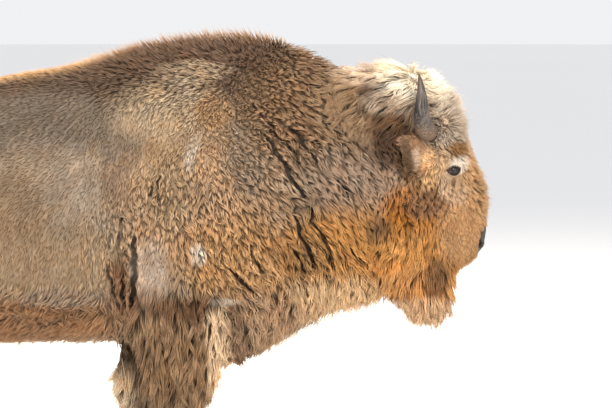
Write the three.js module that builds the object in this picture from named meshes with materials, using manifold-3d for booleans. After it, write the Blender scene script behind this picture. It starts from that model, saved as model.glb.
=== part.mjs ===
// A life-size standing American bison in its pale winter coat, out to the tips of the hair.
// Millimetres, +X forward along the animal, +Y to its left, +Z up. The origin is on the ground, under the
// middle of the body's bounding box.
//
// The flesh is one smooth field: egg-shaped lofts for trunk, head, beard and legs, melted together with a few
// rounded muscles. The field is turned into faces piece by piece, and planes part it where a person would name
// another part. Horns, eyes, ears, toes, dewclaws and tail are made on their own and seated in it.

import * as THREE from "three";
import { ConvexGeometry } from "three/addons/geometries/ConvexGeometry.js";
import { mergeVertices } from "three/addons/utils/BufferGeometryUtils.js";
import Module from "manifold-3d";

const wasm = await Module();
wasm.setup();

// ---------------------------------------------------------------- driving dimensions

const HUMP_HEIGHT = 1640; // ground to the top of the hump
const H = HUMP_HEIGHT / 100; // the body is laid out in hundredths of the hump's height
const CUT = 0.5; // width of the thin cuts between the flesh parts
const SEAT = 0.4; // clearance between a horn, eye, ear or toe and what holds it
const SIDES = { right: -1, left: 1 };

const EYE_RADIUS = 20;
const HORN_BASE_RADIUS = 32;
const EAR_LENGTH = 150;
const TOE_LENGTH = 118;
const TOE_WIDTH = 56;
const TOE_HEIGHT = 66;
const DEWCLAW_RADII = [14, 12, 19];
const NOSTRIL_RADII = [12, 17, 11];

// Cell sizes of the faceted surfaces, along X, Y and Z: long where the body runs straight.
const TRUNK_CELL = new THREE.Vector3(124, 64, 84);
const NECK_CELL = new THREE.Vector3(64, 62, 74);
const HEAD_CELL = new THREE.Vector3(39, 36, 42);
const LEG_CELL = new THREE.Vector3(42, 41, 70);

// ---------------------------------------------------------------- field tools

const clamp = THREE.MathUtils.clamp;
const point = (x, y, z) => new THREE.Vector3(x * H, y * H, z * H);

// Smooth union of two distances: within k of each other they melt into one surface.
function melt(a, b, k) {
  const near = Math.max(k - Math.abs(a - b), 0) / k;
  return Math.min(a, b) - (near * near * k) / 4;
}

// One cross-section of a loft, in hundredths of the hump's height. It is widest at `waist`, and `over` and
// `under` are the powers of its curve on either side: 2 is an ellipse, less is keener, more is boxier.
function station(at, low, waist, high, half, { side = 0, under = 2, over = 2 } = {}) {
  return { at: at * H, values: [low * H, waist * H, high * H, half * H, side * H, under, over] };
}

// Distance to a loft through egg-shaped stations, as a function of (along, sideways, up).
function eggLoft(stations) {
  const keys = stations.map((s) => s.at);
  const columns = stations[0].values.length;
  const curve = new THREE.CubicInterpolant(keys, stations.flatMap((s) => s.values), columns);
  const first = keys[0];
  const last = keys[keys.length - 1];
  return (along, sideways, up) => {
    const t = clamp(along, first, last);
    const [low, waist, high, half, side, under, over] = curve.evaluate(t);
    const above = up > waist;
    const reach = above ? high - waist : waist - low;
    const power = above ? over : under;
    const y = Math.abs(sideways - side);
    const z = Math.abs(up - waist);
    const egg = ((y / half) ** power + (z / reach) ** power) ** (1 / power);
    const radial = egg > 0.01 ? Math.hypot(y, z) * (1 - 1 / egg) : -Math.min(half, reach);
    return Math.max(radial, first - along, along - last);
  };
}

// Distance to a rounded muscle or pad: an ellipsoid, near enough to a true distance for melting.
function pad(centre, radii) {
  const r = radii.map((v) => v * H);
  return (p) => {
    const [x, y, z] = [p.x - centre.x, p.y - centre.y, p.z - centre.z];
    const k0 = Math.hypot(x / r[0], y / r[1], z / r[2]);
    const k1 = Math.hypot(x / r[0] ** 2, y / r[1] ** 2, z / r[2] ** 2);
    return k1 > 1e-9 ? (k0 * (k0 - 1)) / k1 : -Math.min(...r);
  };
}

// ---------------------------------------------------------------- the flesh

// Trunk and neck, along X: low and high are the belly line and the back line.
const trunkLoft = eggLoft([
  station(-86, 49, 65, 79.0, 9.2, { over: 2.1 }),
  station(-78, 43.5, 64, 82.3, 12.8, { over: 2 }),
  station(-68, 41.5, 62, 85.2, 15.4, { over: 1.9 }),
  station(-53, 40.6, 60, 88.0, 18.4, { over: 1.8 }),
  station(-34, 40.1, 58, 91.4, 20.2, { over: 1.7 }),
  station(-19, 40.6, 58, 94.2, 20.2, { over: 1.6 }),
  station(-8, 41.2, 59, 97.3, 19.4, { over: 1.52 }),
  station(3, 39.4, 60, 99.6, 18.8, { over: 1.48 }),
  station(12, 37.2, 61, 100, 18.0, { over: 1.48 }),
  station(20, 41.2, 62, 98.7, 16.6, { over: 1.5, under: 1.9 }),
  station(26.5, 45.0, 64, 95.4, 15.2, { over: 1.6, under: 1.8 }),
  station(32, 46.2, 66, 91.9, 14.2, { over: 1.75, under: 1.7 }),
  station(37, 48.0, 68, 90.5, 13.4, { over: 1.9, under: 1.7 }),
  station(42, 53.0, 70, 88, 12.2, { over: 2 }),
  station(45.5, 58.0, 71, 85, 10.0, { over: 2 }),
  station(49, 64.0, 72, 80, 6.0, { over: 2 }),
]);

// The head has a frame of its own: `down` runs from the crown to the muzzle, `out` towards the face.
const CROWN = point(41.4, 0, 90.5);
const FACE_TILT = THREE.MathUtils.degToRad(20);
const DOWN = new THREE.Vector3(Math.sin(FACE_TILT), 0, -Math.cos(FACE_TILT));
const OUT = new THREE.Vector3(Math.cos(FACE_TILT), 0, Math.sin(FACE_TILT));
const onHead = (down, side, out) =>
  CROWN.clone()
    .addScaledVector(DOWN, down * H)
    .addScaledVector(OUT, out * H)
    .add(new THREE.Vector3(0, side * H, 0));

const headLoft = eggLoft([
  station(-0.5, -8.0, 0, 4.0, 7.0, { over: 2.2 }),
  station(4.5, -9.5, 1.0, 6.8, 9.0, { over: 2.3 }),
  station(9.0, -10, 2.0, 8.2, 9.8, { over: 2.5 }),
  station(13.3, -10.3, 2.5, 8.7, 9.6, { over: 2.6 }),
  station(17.3, -10.5, 2.5, 8.5, 8.8, { over: 2.6 }),
  station(20.8, -10.3, 1.5, 8.6, 7.6, { over: 2.4 }),
  station(24.9, -9.2, 0.5, 8.7, 6.4, { over: 2.3 }),
  station(28.2, -8.2, 0, 7.9, 5.6, { over: 2.3, under: 1.9 }),
  station(31.6, -6.8, 0, 6.3, 4.9, { over: 2.3 }),
  station(34.3, -5.6, -0.4, 5.0, 4.6, { over: 2.3 }),
  station(36.2, -4.4, -0.7, 3.5, 4.0, { over: 2.2 }),
  station(37.5, -2.8, -1.0, 1.2, 2.6),
]);

// The beard hangs from the chin, along -Z: low and high are its back and its front edge.
const beardLoft = eggLoft([
  station(-60, 41.5, 46, 51.0, 4.6),
  station(-54.5, 39.8, 46, 52.6, 4.4),
  station(-50.5, 39.4, 46.3, 53.2, 3.9),
  station(-47.5, 40.7, 46.5, 52.8, 3.2),
  station(-45.3, 42.6, 46.8, 51.2, 2.4),
  station(-43.8, 44.8, 47, 49.2, 1.4),
]);

// A leg is a loft along -Z, given from the top down. Each row holds the height, the back edge, the widest
// place, the front edge, the half width, the distance from the body's middle, and how much of the leg's step
// the row takes: none where it leaves the body, all from the knee or hock down.
const LEGS = {
  fore: [
    [52, -10, 0, 11, 7.4, 9.6, 0],
    [46, -9.6, 0, 10, 6.8, 9.0, 0.3],
    [41, -8.5, 0.3, 9.1, 6.4, 8.6, 0.7],
    [36, -7.6, 0.3, 8.2, 5.9, 8.2, 0.9],
    [32, -7.0, 0, 6.7, 5.2, 8.0, 1],
    [29, -6.0, 0, 5.4, 4.5, 7.9, 1],
    [26, -4.4, 0.2, 4.3, 3.7, 7.8, 1],
    [23, -3.1, 0.2, 3.6, 3.2, 7.8, 1],
    [19, -2.3, 0.2, 2.7, 2.5, 7.8, 1],
    [12, -2.1, 0, 2.3, 2.3, 7.8, 1],
    [8.6, -3.0, 0.2, 2.8, 2.8, 7.8, 1],
    [5.2, -2.2, 0.8, 3.5, 2.7, 7.9, 1],
    [3.2, -2.4, 1.0, 4.3, 3.1, 8.0, 1],
  ],
  hind: [
    [66, -88, -74, -60, 7.2, 7.4, 0],
    [58, -89.5, -74, -58.5, 7.4, 8.2, 0],
    [52, -89.3, -75, -59.5, 7.0, 8.6, 0],
    [46, -88.2, -77, -64, 6.1, 8.8, 0.3],
    [40, -87.4, -79, -70, 5.0, 8.7, 0.6],
    [35, -87.3, -81, -75.2, 4.0, 8.6, 0.9],
    [30, -88.0, -83, -79.0, 3.4, 8.5, 1],
    [26, -86.0, -82.5, -79.4, 3.0, 8.4, 1],
    [20, -83.8, -81, -78.6, 2.5, 8.3, 1],
    [12, -82.4, -80, -77.7, 2.4, 8.3, 1],
    [8.6, -82.8, -79.5, -76.7, 2.8, 8.3, 1],
    [5.2, -81.0, -78, -75.2, 2.7, 8.4, 1],
    [3.2, -80.6, -77.3, -73.9, 3.1, 8.4, 1],
  ],
};

// How far each foot stands ahead of (+) or behind (-) its own leg's plumb line.
const STEP = {
  fore: { right: 0, left: -7.5 },
  hind: { right: -3.0, left: 3.5 },
};

function legLoft(end, name) {
  return eggLoft(
    LEGS[end].map(([z, back, middle, front, half, apart, share]) => {
      const on = STEP[end][name] * share;
      return station(-z, back + on, middle + on, front + on, half, { side: apart * SIDES[name] });
    }),
  );
}

const muscles = [
  { at: pad(point(-84, 0, 67), [9, 8.6, 11]), melt: 5 }, // rump
  { at: pad(point(39.5, 0, 87.2), [8.0, 7.2, 7.0]), melt: 3 }, // crown hair behind the horns
  { at: pad(point(42, 0, 62.5), [6.5, 9.6, 10.0]), melt: 5 }, // throat
];
for (const side of Object.values(SIDES)) {
  muscles.push(
    { at: pad(point(5, 10.5 * side, 66), [13, 8.5, 17]), melt: 6 }, // shoulder blade
    { at: pad(point(2, 10.5 * side, 52), [11, 8, 10]), melt: 5 }, // upper arm
    { at: pad(point(-74, 8.4 * side, 62), [12.5, 7.6, 15]), melt: 5 }, // haunch
    { at: pad(onHead(19.2, 6.2 * side, 2.4), [3.4, 2.2, 3.4]), melt: 2 }, // rim of the eye socket
    { at: pad(onHead(23, 4.8 * side, -4.2), [8.5, 4.2, 5.2]), melt: 4 }, // cheek and jaw
  );
}

const limbs = Object.keys(LEGS).flatMap((end) => Object.keys(SIDES).map((name) => legLoft(end, name)));

function flesh(p) {
  let d = trunkLoft(p.x, p.y, p.z);
  for (const muscle of muscles) d = melt(d, muscle.at(p), muscle.melt * H);
  const v = p.clone().sub(CROWN);
  d = melt(d, headLoft(v.dot(DOWN), p.y, v.dot(OUT)), 4 * H);
  d = melt(d, beardLoft(-p.z, p.y, p.x), 1.5 * H);
  for (const limb of limbs) d = melt(d, limb(-p.z, p.y, p.x), 2.5 * H);
  return d;
}

// ---------------------------------------------------------------- from field to faces

// Surface nets: one vertex in each cell that the surface crosses, and one quad round each crossed grid edge.
// The vertices are then slid along the field's slope until they lie on the surface. The number of cells is
// odd each way, so a row of vertices follows the crest of a box that lies evenly about the middle.
function netOf(field, box, cell) {
  const size = box.getSize(new THREE.Vector3());
  const n = size.divide(cell).toArray().map((count) => 2 * Math.ceil(count / 2) + 1);
  const start = box.getCenter(new THREE.Vector3()).sub(new THREE.Vector3(...n).multiply(cell).divideScalar(2));
  const index = (i, j, k) => (k * (n[1] + 1) + j) * (n[0] + 1) + i;
  const corner = (i, j, k) => new THREE.Vector3(i, j, k).multiply(cell).add(start);
  const value = new Float32Array((n[0] + 1) * (n[1] + 1) * (n[2] + 1)).fill(H);
  const eachCell = (first, visit) => {
    for (let k = first; k < n[2]; k++) {
      for (let j = first; j < n[1]; j++) {
        for (let i = first; i < n[0]; i++) visit(i, j, k);
      }
    }
  };
  eachCell(1, (i, j, k) => (value[index(i, j, k)] = field(corner(i, j, k)) || 1e-6));

  const places = [];
  const vertexOf = new Map();
  const steps = [[1, 0, 0], [0, 1, 0], [0, 0, 1]];
  eachCell(0, (i, j, k) => {
    const sum = new THREE.Vector3();
    let crossings = 0;
    for (const [axis, step] of steps.entries()) {
      const [u, v] = [steps[(axis + 1) % 3], steps[(axis + 2) % 3]];
      for (const [a, b] of [[0, 0], [1, 0], [0, 1], [1, 1]]) {
        const from = [0, 1, 2].map((c) => [i, j, k][c] + a * u[c] + b * v[c]);
        const to = from.map((c, at) => c + step[at]);
        const [f, g] = [value[index(...from)], value[index(...to)]];
        if (f < 0 === g < 0) continue;
        sum.add(corner(...from).lerp(corner(...to), f / (f - g)));
        crossings++;
      }
    }
    if (!crossings) return;
    vertexOf.set(index(i, j, k), places.length);
    places.push(settle(sum.divideScalar(crossings), field, cell));
  });

  const faces = [];
  const quad = (a, b, c, d) => {
    const split = places[a].distanceTo(places[c]) <= places[b].distanceTo(places[d]);
    faces.push(...(split ? [a, b, c, a, c, d] : [b, c, d, b, d, a]));
  };
  eachCell(0, (i, j, k) => {
    const f = value[index(i, j, k)];
    for (const [axis, step] of steps.entries()) {
      const g = value[index(i + step[0], j + step[1], k + step[2])];
      if (f < 0 === g < 0) continue;
      const [u, v] = [steps[(axis + 1) % 3], steps[(axis + 2) % 3]];
      const ring = [[0, 0], [1, 0], [1, 1], [0, 1]].map(([a, b]) =>
        vertexOf.get(index(...[i, j, k].map((c, at) => c - a * u[at] - b * v[at]))),
      );
      quad(...(f < 0 ? ring : ring.reverse()));
    }
  });

  const positions = Float32Array.from(places.flatMap((p) => p.toArray()));
  return new THREE.BufferGeometry()
    .setAttribute("position", new THREE.BufferAttribute(positions, 3))
    .setIndex(faces);
}

function settle(place, field, cell) {
  const reach = Math.min(...cell.toArray());
  const step = reach * 0.05;
  for (let round = 0; round < 3; round++) {
    const d = field(place);
    if (Math.abs(d) > reach) break; // a face of the box, which a cut takes away
    const slope = new THREE.Vector3(
      field(place.clone().setX(place.x + step)) - field(place.clone().setX(place.x - step)),
      field(place.clone().setY(place.y + step)) - field(place.clone().setY(place.y - step)),
      field(place.clone().setZ(place.z + step)) - field(place.clone().setZ(place.z - step)),
    ).divideScalar(2 * step);
    const steepness = Math.max(slope.lengthSq(), 0.25);
    place.addScaledVector(slope, -clamp(d / steepness, -reach / 4, reach / 4));
  }
  return place;
}

// ---------------------------------------------------------------- solids

function solidOf(geometry) {
  const bare = (geometry.index ? geometry.toNonIndexed() : geometry.clone());
  for (const name of Object.keys(bare.attributes)) if (name !== "position") bare.deleteAttribute(name);
  const merged = mergeVertices(bare, 1e-3);
  const vertProperties = merged.attributes.position.array;
  return new wasm.Manifold(new wasm.Mesh({ numProp: 3, vertProperties, triVerts: merged.index.array }));
}

function geometryOf(solid) {
  const mesh = solid.getMesh();
  return new THREE.BufferGeometry()
    .setAttribute("position", new THREE.BufferAttribute(mesh.vertProperties, 3))
    .setIndex(new THREE.BufferAttribute(mesh.triVerts, 1));
}

// The flesh inside a box, as one solid. The box reaches past the cuts, which give the true ends.
function fleshIn(low, high, cell) {
  return solidOf(netOf(flesh, new THREE.Box3(point(...low), point(...high)), cell));
}

// Keeps the side of a plane that `normal` points to. The plane runs through two places in the side view.
function keep(solid, [x1, z1], [x2, z2], towards) {
  const normal = new THREE.Vector3(z2 - z1, 0, x1 - x2).normalize();
  const through = point(x1, 0, z1);
  if (normal.x * towards[0] + normal.z * towards[1] < 0) normal.negate();
  return solid.trimByPlane(normal.toArray(), normal.dot(through) + CUT / 2);
}

const largest = (solid) => solid.decompose().sort((a, b) => b.volume() - a.volume())[0];

// ---------------------------------------------------------------- hard parts

// Bends a cylinder along a curve, with its own radii on the way. Both ends stay closed. `grown` makes it that
// much larger all round, for the seat it is set in.
function tapered(curve, radiusAt, sides, steps, grown) {
  const tube = new THREE.CylinderGeometry(1, 1, 1, sides, steps);
  const frames = curve.computeFrenetFrames(steps);
  const places = tube.attributes.position;
  for (let v = 0; v < places.count; v++) {
    const t = clamp(0.5 - places.getY(v), 0, 1);
    const at = Math.round(t * steps);
    const radius = radiusAt(t) + grown;
    const place = curve
      .getPointAt(t)
      .addScaledVector(frames.tangents[at], grown * (Math.floor(t) - Math.floor(1 - t)))
      .addScaledVector(frames.normals[at], places.getX(v) * radius)
      .addScaledVector(frames.binormals[at], places.getZ(v) * radius);
    places.setXYZ(v, ...place.toArray());
  }
  return tube;
}

// A horn leaves the skull sideways, sweeps out and turns up to a point that leans in.
function horn(side, grown = 0) {
  const path = new THREE.CatmullRomCurve3([
    point(46.9, 6.2 * side, 81.2),
    point(46.5, 9.2 * side, 81.1),
    point(45.7, 12.2 * side, 81.8),
    point(45.1, 14.7 * side, 84.3),
    point(45.1, 15.8 * side, 87.5),
    point(44.9, 15.6 * side, 90.0),
    point(44.6, 15.1 * side, 91.9),
  ]);
  return tapered(path, (t) => HORN_BASE_RADIUS * (1 - t ** 2.2) + 2, 10, 10, grown);
}

// How far out to one side the flesh reaches, level with a place in the middle of the body.
function reachSideways(place, side) {
  let [inside, outside] = [0, 30 * H];
  while (outside - inside > 0.1) {
    const middle = (inside + outside) / 2;
    if (flesh(place.clone().setY(middle * side)) < 0) inside = middle;
    else outside = middle;
  }
  return inside;
}

// The eyeball lies mostly inside the flesh.
function eye(side, grown = 0) {
  const place = onHead(19.5, 0, 3.8);
  place.y = side * (reachSideways(place, side) - EYE_RADIUS * 0.55);
  return new THREE.SphereGeometry(EYE_RADIUS + grown, 12, 8).translate(...place.toArray());
}

// An ear is a pointed oval leaf, hollowed on the side that faces back and down. `leaf` makes either shape,
// with local +X running out along the ear and local -Z on the hollow side.
function leaf(length, width, thick, [dx, dy, dz]) {
  const shape = new THREE.SphereGeometry(1, 10, 8).rotateZ(Math.PI / 2);
  const places = shape.attributes.position;
  for (let v = 0; v < places.count; v++) {
    const along = (places.getX(v) + 1) / 2;
    const taper = (1 - 0.45 * along ** 2) / 2;
    const [x, y, z] = [along * length, places.getY(v) * width * taper, places.getZ(v) * thick * taper];
    places.setXYZ(v, x + dx, y + dy, z + dz);
  }
  return shape;
}

function placeEar(shape, side) {
  const along = new THREE.Vector3(-0.68, 0.56 * side, 0.50).normalize();
  const outwards = new THREE.Vector3(0.5, 0.8 * side, 0.1);
  const across = new THREE.Vector3().crossVectors(outwards, along).normalize();
  const up = new THREE.Vector3().crossVectors(along, across);
  const root = point(47.1, 8.8 * side, 75.2);
  return solidOf(shape.applyMatrix4(new THREE.Matrix4().makeBasis(along, across, up).setPosition(root)));
}

const earBlank = (side, grown = 0) =>
  placeEar(leaf(EAR_LENGTH + grown, 110 + 2 * grown, 46 + 2 * grown, [0, 0, 0]), side);
const earHollow = (side) => placeEar(leaf(EAR_LENGTH * 0.8, 84, 44, [EAR_LENGTH * 0.2, 0, -15]), side);

const TAIL_PATH = new THREE.CatmullRomCurve3([
  point(-87.0, 0, 74.2),
  point(-92.6, 0, 72.6),
  point(-95.2, 0, 66),
  point(-95.4, 0, 58),
  point(-94.9, 0, 50),
  point(-94.2, 0, 42),
]);
const tailRadius = (t) => {
  const stem = THREE.MathUtils.lerp(34, 20, Math.min(t / 0.5, 1));
  const tuft = 24 * Math.exp(-(((t - 0.8) / 0.14) ** 2));
  const tip = Math.sqrt(clamp((1 - t) / 0.16, 0, 1));
  return (stem + tuft) * tip + 2;
};

// A toe is half of a cloven hoof: a flat sole, a straight inner wall and a rounded outer one.
function toe(centre, outward) {
  const [length, width] = [TOE_LENGTH, TOE_WIDTH];
  const outline = new THREE.Shape();
  outline.moveTo(-length / 2, 0);
  outline.lineTo(length / 2 - 12, 0);
  outline.quadraticCurveTo(length / 2, width * 0.12, length / 2 - 10, width * 0.42);
  outline.quadraticCurveTo(length / 6, width * 1.12, -length / 4, width);
  outline.quadraticCurveTo(-length / 2, width * 0.9, -length / 2, width * 0.35);
  const block = new THREE.ExtrudeGeometry(outline, {
    depth: TOE_HEIGHT, bevelEnabled: false, curveSegments: 4,
  });
  const places = block.attributes.position;
  for (let v = 0; v < places.count; v++) {
    const lift = places.getZ(v) / TOE_HEIGHT;
    const shrink = 1 - 0.22 * lift;
    const x = places.getX(v) * (1 - 0.3 * lift) - 14 * lift;
    places.setXYZ(v, x, places.getY(v) * shrink * outward, places.getZ(v));
  }
  if (outward < 0) turnInsideOut(block);
  return block.translate(...centre.toArray());
}

// A mirrored shape has its faces turned round again.
function turnInsideOut(geometry) {
  const places = geometry.attributes.position;
  for (let v = 0; v < places.count; v += 3) {
    const [a, b] = [v, v + 1].map((at) => new THREE.Vector3().fromBufferAttribute(places, at));
    places.setXYZ(v, ...b.toArray());
    places.setXYZ(v + 1, ...a.toArray());
  }
}

function dewclaw(centre, grown = 0) {
  const [rx, ry, rz] = DEWCLAW_RADII.map((r) => r + grown);
  return new THREE.SphereGeometry(1, 7, 5).scale(rx, ry, rz).translate(...centre.toArray());
}

// A nostril is a shallow pit in the front corner of the nose.
function nostril(side) {
  const place = onHead(34.4, 2.6 * side, 4.3);
  return new THREE.SphereGeometry(1, 8, 6)
    .scale(...NOSTRIL_RADII)
    .rotateY(-FACE_TILT)
    .translate(...place.toArray());
}

// ---------------------------------------------------------------- assembly

const COLOURS = {
  coat: { color: 0xb08a5e, roughness: 0.95 },
  mane: { color: 0xa5763f, roughness: 0.95 },
  horn: { color: 0x5e5650, roughness: 0.45 },
  hoof: { color: 0x3a332d, roughness: 0.5 },
  eye: { color: 0x1c130e, roughness: 0.08 },
};

const bison = new THREE.Group();
bison.name = "bison";

function add(name, solid, finish) {
  const material = new THREE.MeshStandardMaterial({ ...COLOURS[finish], metalness: 0 });
  const mesh = new THREE.Mesh(geometryOf(solid), material);
  mesh.name = name;
  bison.add(mesh);
}

// Where a person would part the animal, as pairs of places in the side view.
const NECK_LINE = [[36, 96], [39.2, 48]]; // behind the head
const SHOULDER_LINE = [[19.5, 102], [28.5, 40]]; // along the crease in front of the shoulder
const CHIN_LINE = [[36, 54.8], [60, 54.8]]; // above the beard

// A block of space that holds part of a leg, between its foot and a top that slopes up towards the outside.
// `back` and `front` are the places of its edges at the outer top and at the foot, before the leg's step.
function legBlock({ back, front, inner, outer, foot }, step, side, shrink) {
  const corners = [];
  for (const [y, top, s] of [[inner.y, inner.top, 1], [outer.y, outer.top, -1]]) {
    for (const [xTop, xFoot, t] of [[...back, 1], [...front, -1]]) {
      for (const [z, drop] of [[top, 2 * shrink], [foot, 0]]) {
        const x = THREE.MathUtils.mapLinear(z, foot, outer.top, xFoot + step, xTop + step / 2);
        corners.push(point(x, y * side, z).add(new THREE.Vector3(2 * t * shrink, s * side * shrink, -drop)));
      }
    }
  }
  return solidOf(new ConvexGeometry(corners));
}

// Two blocks for each leg: the upper one lies in the shoulder or haunch, the lower one hangs free.
const BLOCKS = {
  fore: [
    { back: [-12, -13], front: [12.5, 11], inner: { y: 2.6, top: 36.2 }, outer: { y: 24, top: 53 }, foot: 33 },
    { back: [-18, -18], front: [20, 20], inner: { y: 2.6, top: 33.5 }, outer: { y: 24, top: 33.5 }, foot: -9 },
  ],
  hind: [
    { back: [-99, -99], front: [-55, -70], inner: { y: 1.8, top: 40 }, outer: { y: 22, top: 67 }, foot: 36 },
    { back: [-99, -99], front: [-62, -62], inner: { y: 1.8, top: 36.5 }, outer: { y: 22, top: 36.5 }, foot: -9 },
  ],
};
const legSpace = (end, name, shrink) =>
  BLOCKS[end].map((block) => legBlock(block, STEP[end][name], SIDES[name], shrink)).reduce((a, b) => a.add(b));

let trunk = fleshIn([-99, -26, 33], [33, 26, 103], TRUNK_CELL);
trunk = keep(trunk, ...SHOULDER_LINE, [-1, 0]);
let neck = fleshIn([14, -22, 35], [45, 22, 103], NECK_CELL);
neck = keep(keep(neck, ...SHOULDER_LINE, [1, 0]), ...NECK_LINE, [-1, 0]);
const face = fleshIn([33, -14, 41], [61, 14, 98], HEAD_CELL);
let head = keep(keep(face, ...NECK_LINE, [1, 0]), ...CHIN_LINE, [0, 1]);
const beard = keep(keep(face, ...NECK_LINE, [1, 0]), ...CHIN_LINE, [0, -1]);

for (const [name, side] of Object.entries(SIDES)) {
  for (const end of Object.keys(LEGS)) {
    trunk = trunk.subtract(legSpace(end, name, -CUT / 2));
    const [y1, y2] = [1 * side, 20 * side].sort((a, b) => a - b);
    const [x1, x2] = end === "fore" ? [-24, 17] : [-98, -50];
    let leg = fleshIn([x1, y1, -4], [x2, y2, 68], LEG_CELL);
    leg = largest(leg.intersect(legSpace(end, name, CUT / 2)));

    const step = STEP[end][name];
    const [x, y] = end === "fore" ? [1.2 + step, 8.0] : [-76.9 + step, 8.4];
    for (const [place, outward] of [["inner", -side], ["outer", side]]) {
      const centre = point(x, y * side, 0).add(new THREE.Vector3(0, outward * 3, 0));
      const claw = solidOf(toe(centre, outward));
      add(`toe_${end}_${name}_${place}`, claw, "hoof");
    }
    leg = keep(leg, [-200, TOE_HEIGHT / H], [200, TOE_HEIGHT / H], [0, 1]);
    for (const [place, outward] of [["inner", -side], ["outer", side]]) {
      const back = (end === "fore" ? -2.6 : -82.3) + step;
      const centre = point(back, y * side + outward * 1.5, 8.0);
      leg = leg.subtract(solidOf(dewclaw(centre, SEAT)));
      add(`dewclaw_${end}_${name}_${place}`, solidOf(dewclaw(centre)), "hoof");
    }
    add(`${end}leg_${name}`, leg, "coat");
  }
  head = head
    .subtract(solidOf(horn(side, SEAT)))
    .subtract(solidOf(eye(side, SEAT)))
    .subtract(earBlank(side, SEAT))
    .subtract(solidOf(nostril(side)));
  add(`horn_${name}`, solidOf(horn(side)), "horn");
  add(`eye_${name}`, solidOf(eye(side)), "eye");
  const ear = earBlank(side).subtract(earHollow(side)).subtract(solidOf(horn(side, SEAT)));
  add(`ear_${name}`, largest(ear), "coat");
}

const tail = (grown = 0) => solidOf(tapered(TAIL_PATH, tailRadius, 10, 14, grown));
trunk = trunk.subtract(tail(SEAT));

add("trunk", largest(trunk), "coat");
add("neck", largest(neck), "mane");
add("head", largest(head), "mane");
add("beard", largest(beard), "mane");
add("tail", tail(), "coat");

// The body was laid out from the right forefoot; the part's origin is under the middle of its bounding box.
const bounds = new THREE.Box3().setFromObject(bison);
const middle = bounds.getCenter(new THREE.Vector3());
bison.position.set(-middle.x, -middle.y, -bounds.min.z);

export default bison;
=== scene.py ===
# %% [markdown]
# # A pale winter bison, life size
#
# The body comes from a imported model: about thirty solids, whose surfaces are the tips of the coat. This
# lesson dresses it. One skin is grown from the solids of flesh and drawn in by the depth of the coat. About
# a hundred and fifty thousand solid tufts are then planted on it, and eyes, lids, horns and hooves get
# their own shapes and finishes.

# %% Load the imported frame
import math

import bmesh
import bpy
import numpy as np
from mathutils import Matrix, Vector, kdtree
from mathutils.bvhtree import BVHTree


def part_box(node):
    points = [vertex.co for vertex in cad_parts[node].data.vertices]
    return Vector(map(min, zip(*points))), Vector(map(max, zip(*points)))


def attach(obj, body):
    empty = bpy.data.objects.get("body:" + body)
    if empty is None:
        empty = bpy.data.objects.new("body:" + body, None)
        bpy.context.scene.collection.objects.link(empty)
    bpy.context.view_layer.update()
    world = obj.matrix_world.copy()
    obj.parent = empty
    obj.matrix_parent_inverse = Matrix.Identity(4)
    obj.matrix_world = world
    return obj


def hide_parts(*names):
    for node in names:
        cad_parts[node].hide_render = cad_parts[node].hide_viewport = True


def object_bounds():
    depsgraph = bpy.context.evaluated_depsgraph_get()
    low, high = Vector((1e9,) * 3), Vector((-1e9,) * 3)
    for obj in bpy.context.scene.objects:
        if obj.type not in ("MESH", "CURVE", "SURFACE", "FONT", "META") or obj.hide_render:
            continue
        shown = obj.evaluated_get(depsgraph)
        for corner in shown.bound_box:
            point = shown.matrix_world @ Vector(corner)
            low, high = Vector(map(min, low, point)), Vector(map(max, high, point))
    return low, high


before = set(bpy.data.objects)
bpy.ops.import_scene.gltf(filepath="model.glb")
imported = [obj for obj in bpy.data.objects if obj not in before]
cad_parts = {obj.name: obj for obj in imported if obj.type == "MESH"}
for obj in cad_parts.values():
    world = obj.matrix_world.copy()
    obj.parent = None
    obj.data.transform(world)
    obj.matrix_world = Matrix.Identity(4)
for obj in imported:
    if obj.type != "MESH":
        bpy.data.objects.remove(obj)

cad_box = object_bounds()
print("CAD box", cad_box)

# %% [markdown]
# ## A way to say where things are
#
# Every place is told in hundredths of the animal's height. X counts forward from the plumb line of the
# right forefoot, Y counts sideways from the middle, without a sign, and Z counts up from the ground. The
# same mask functions then serve twice: with arrays of numbers, when tufts are planted, and with shader
# sockets, when markings are painted. So the coat's shape and its colours can't drift apart.

# %% Units and landmarks
UNIT = (cad_box[1].z - cad_box[0].z) / 100


def middle(node):
    low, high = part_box(node)
    return (low + high) / 2


FOREFOOT = middle("toe_fore_right_outer").x
SIDES = {"right": -1, "left": 1}
FLESH = ["trunk", "neck", "head", "beard", "tail"]
FLESH += [f"{part}_{side}" for part in ("foreleg", "hindleg", "ear") for side in SIDES]


def place(x, y, z):
    """A place told in hundredths, in metres."""
    return Vector((FOREFOOT + x * UNIT, y * UNIT, z * UNIT))


EYE_SHIFT = Vector((-0.0055, 0, 0.005))
eye_place = {side: middle(f"eye_{side}") + EYE_SHIFT for side in SIDES}
print("one hundredth is", round(UNIT * 1000, 2), "mm; the eyes are at", eye_place["right"])

# %% [markdown]
# ## Maths on shader sockets
#
# A small class wraps a socket and overloads the operators, so a mask is written as an expression. The same
# expression works on arrays, because `smooth` and `absolute` look at what they are given.


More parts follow.
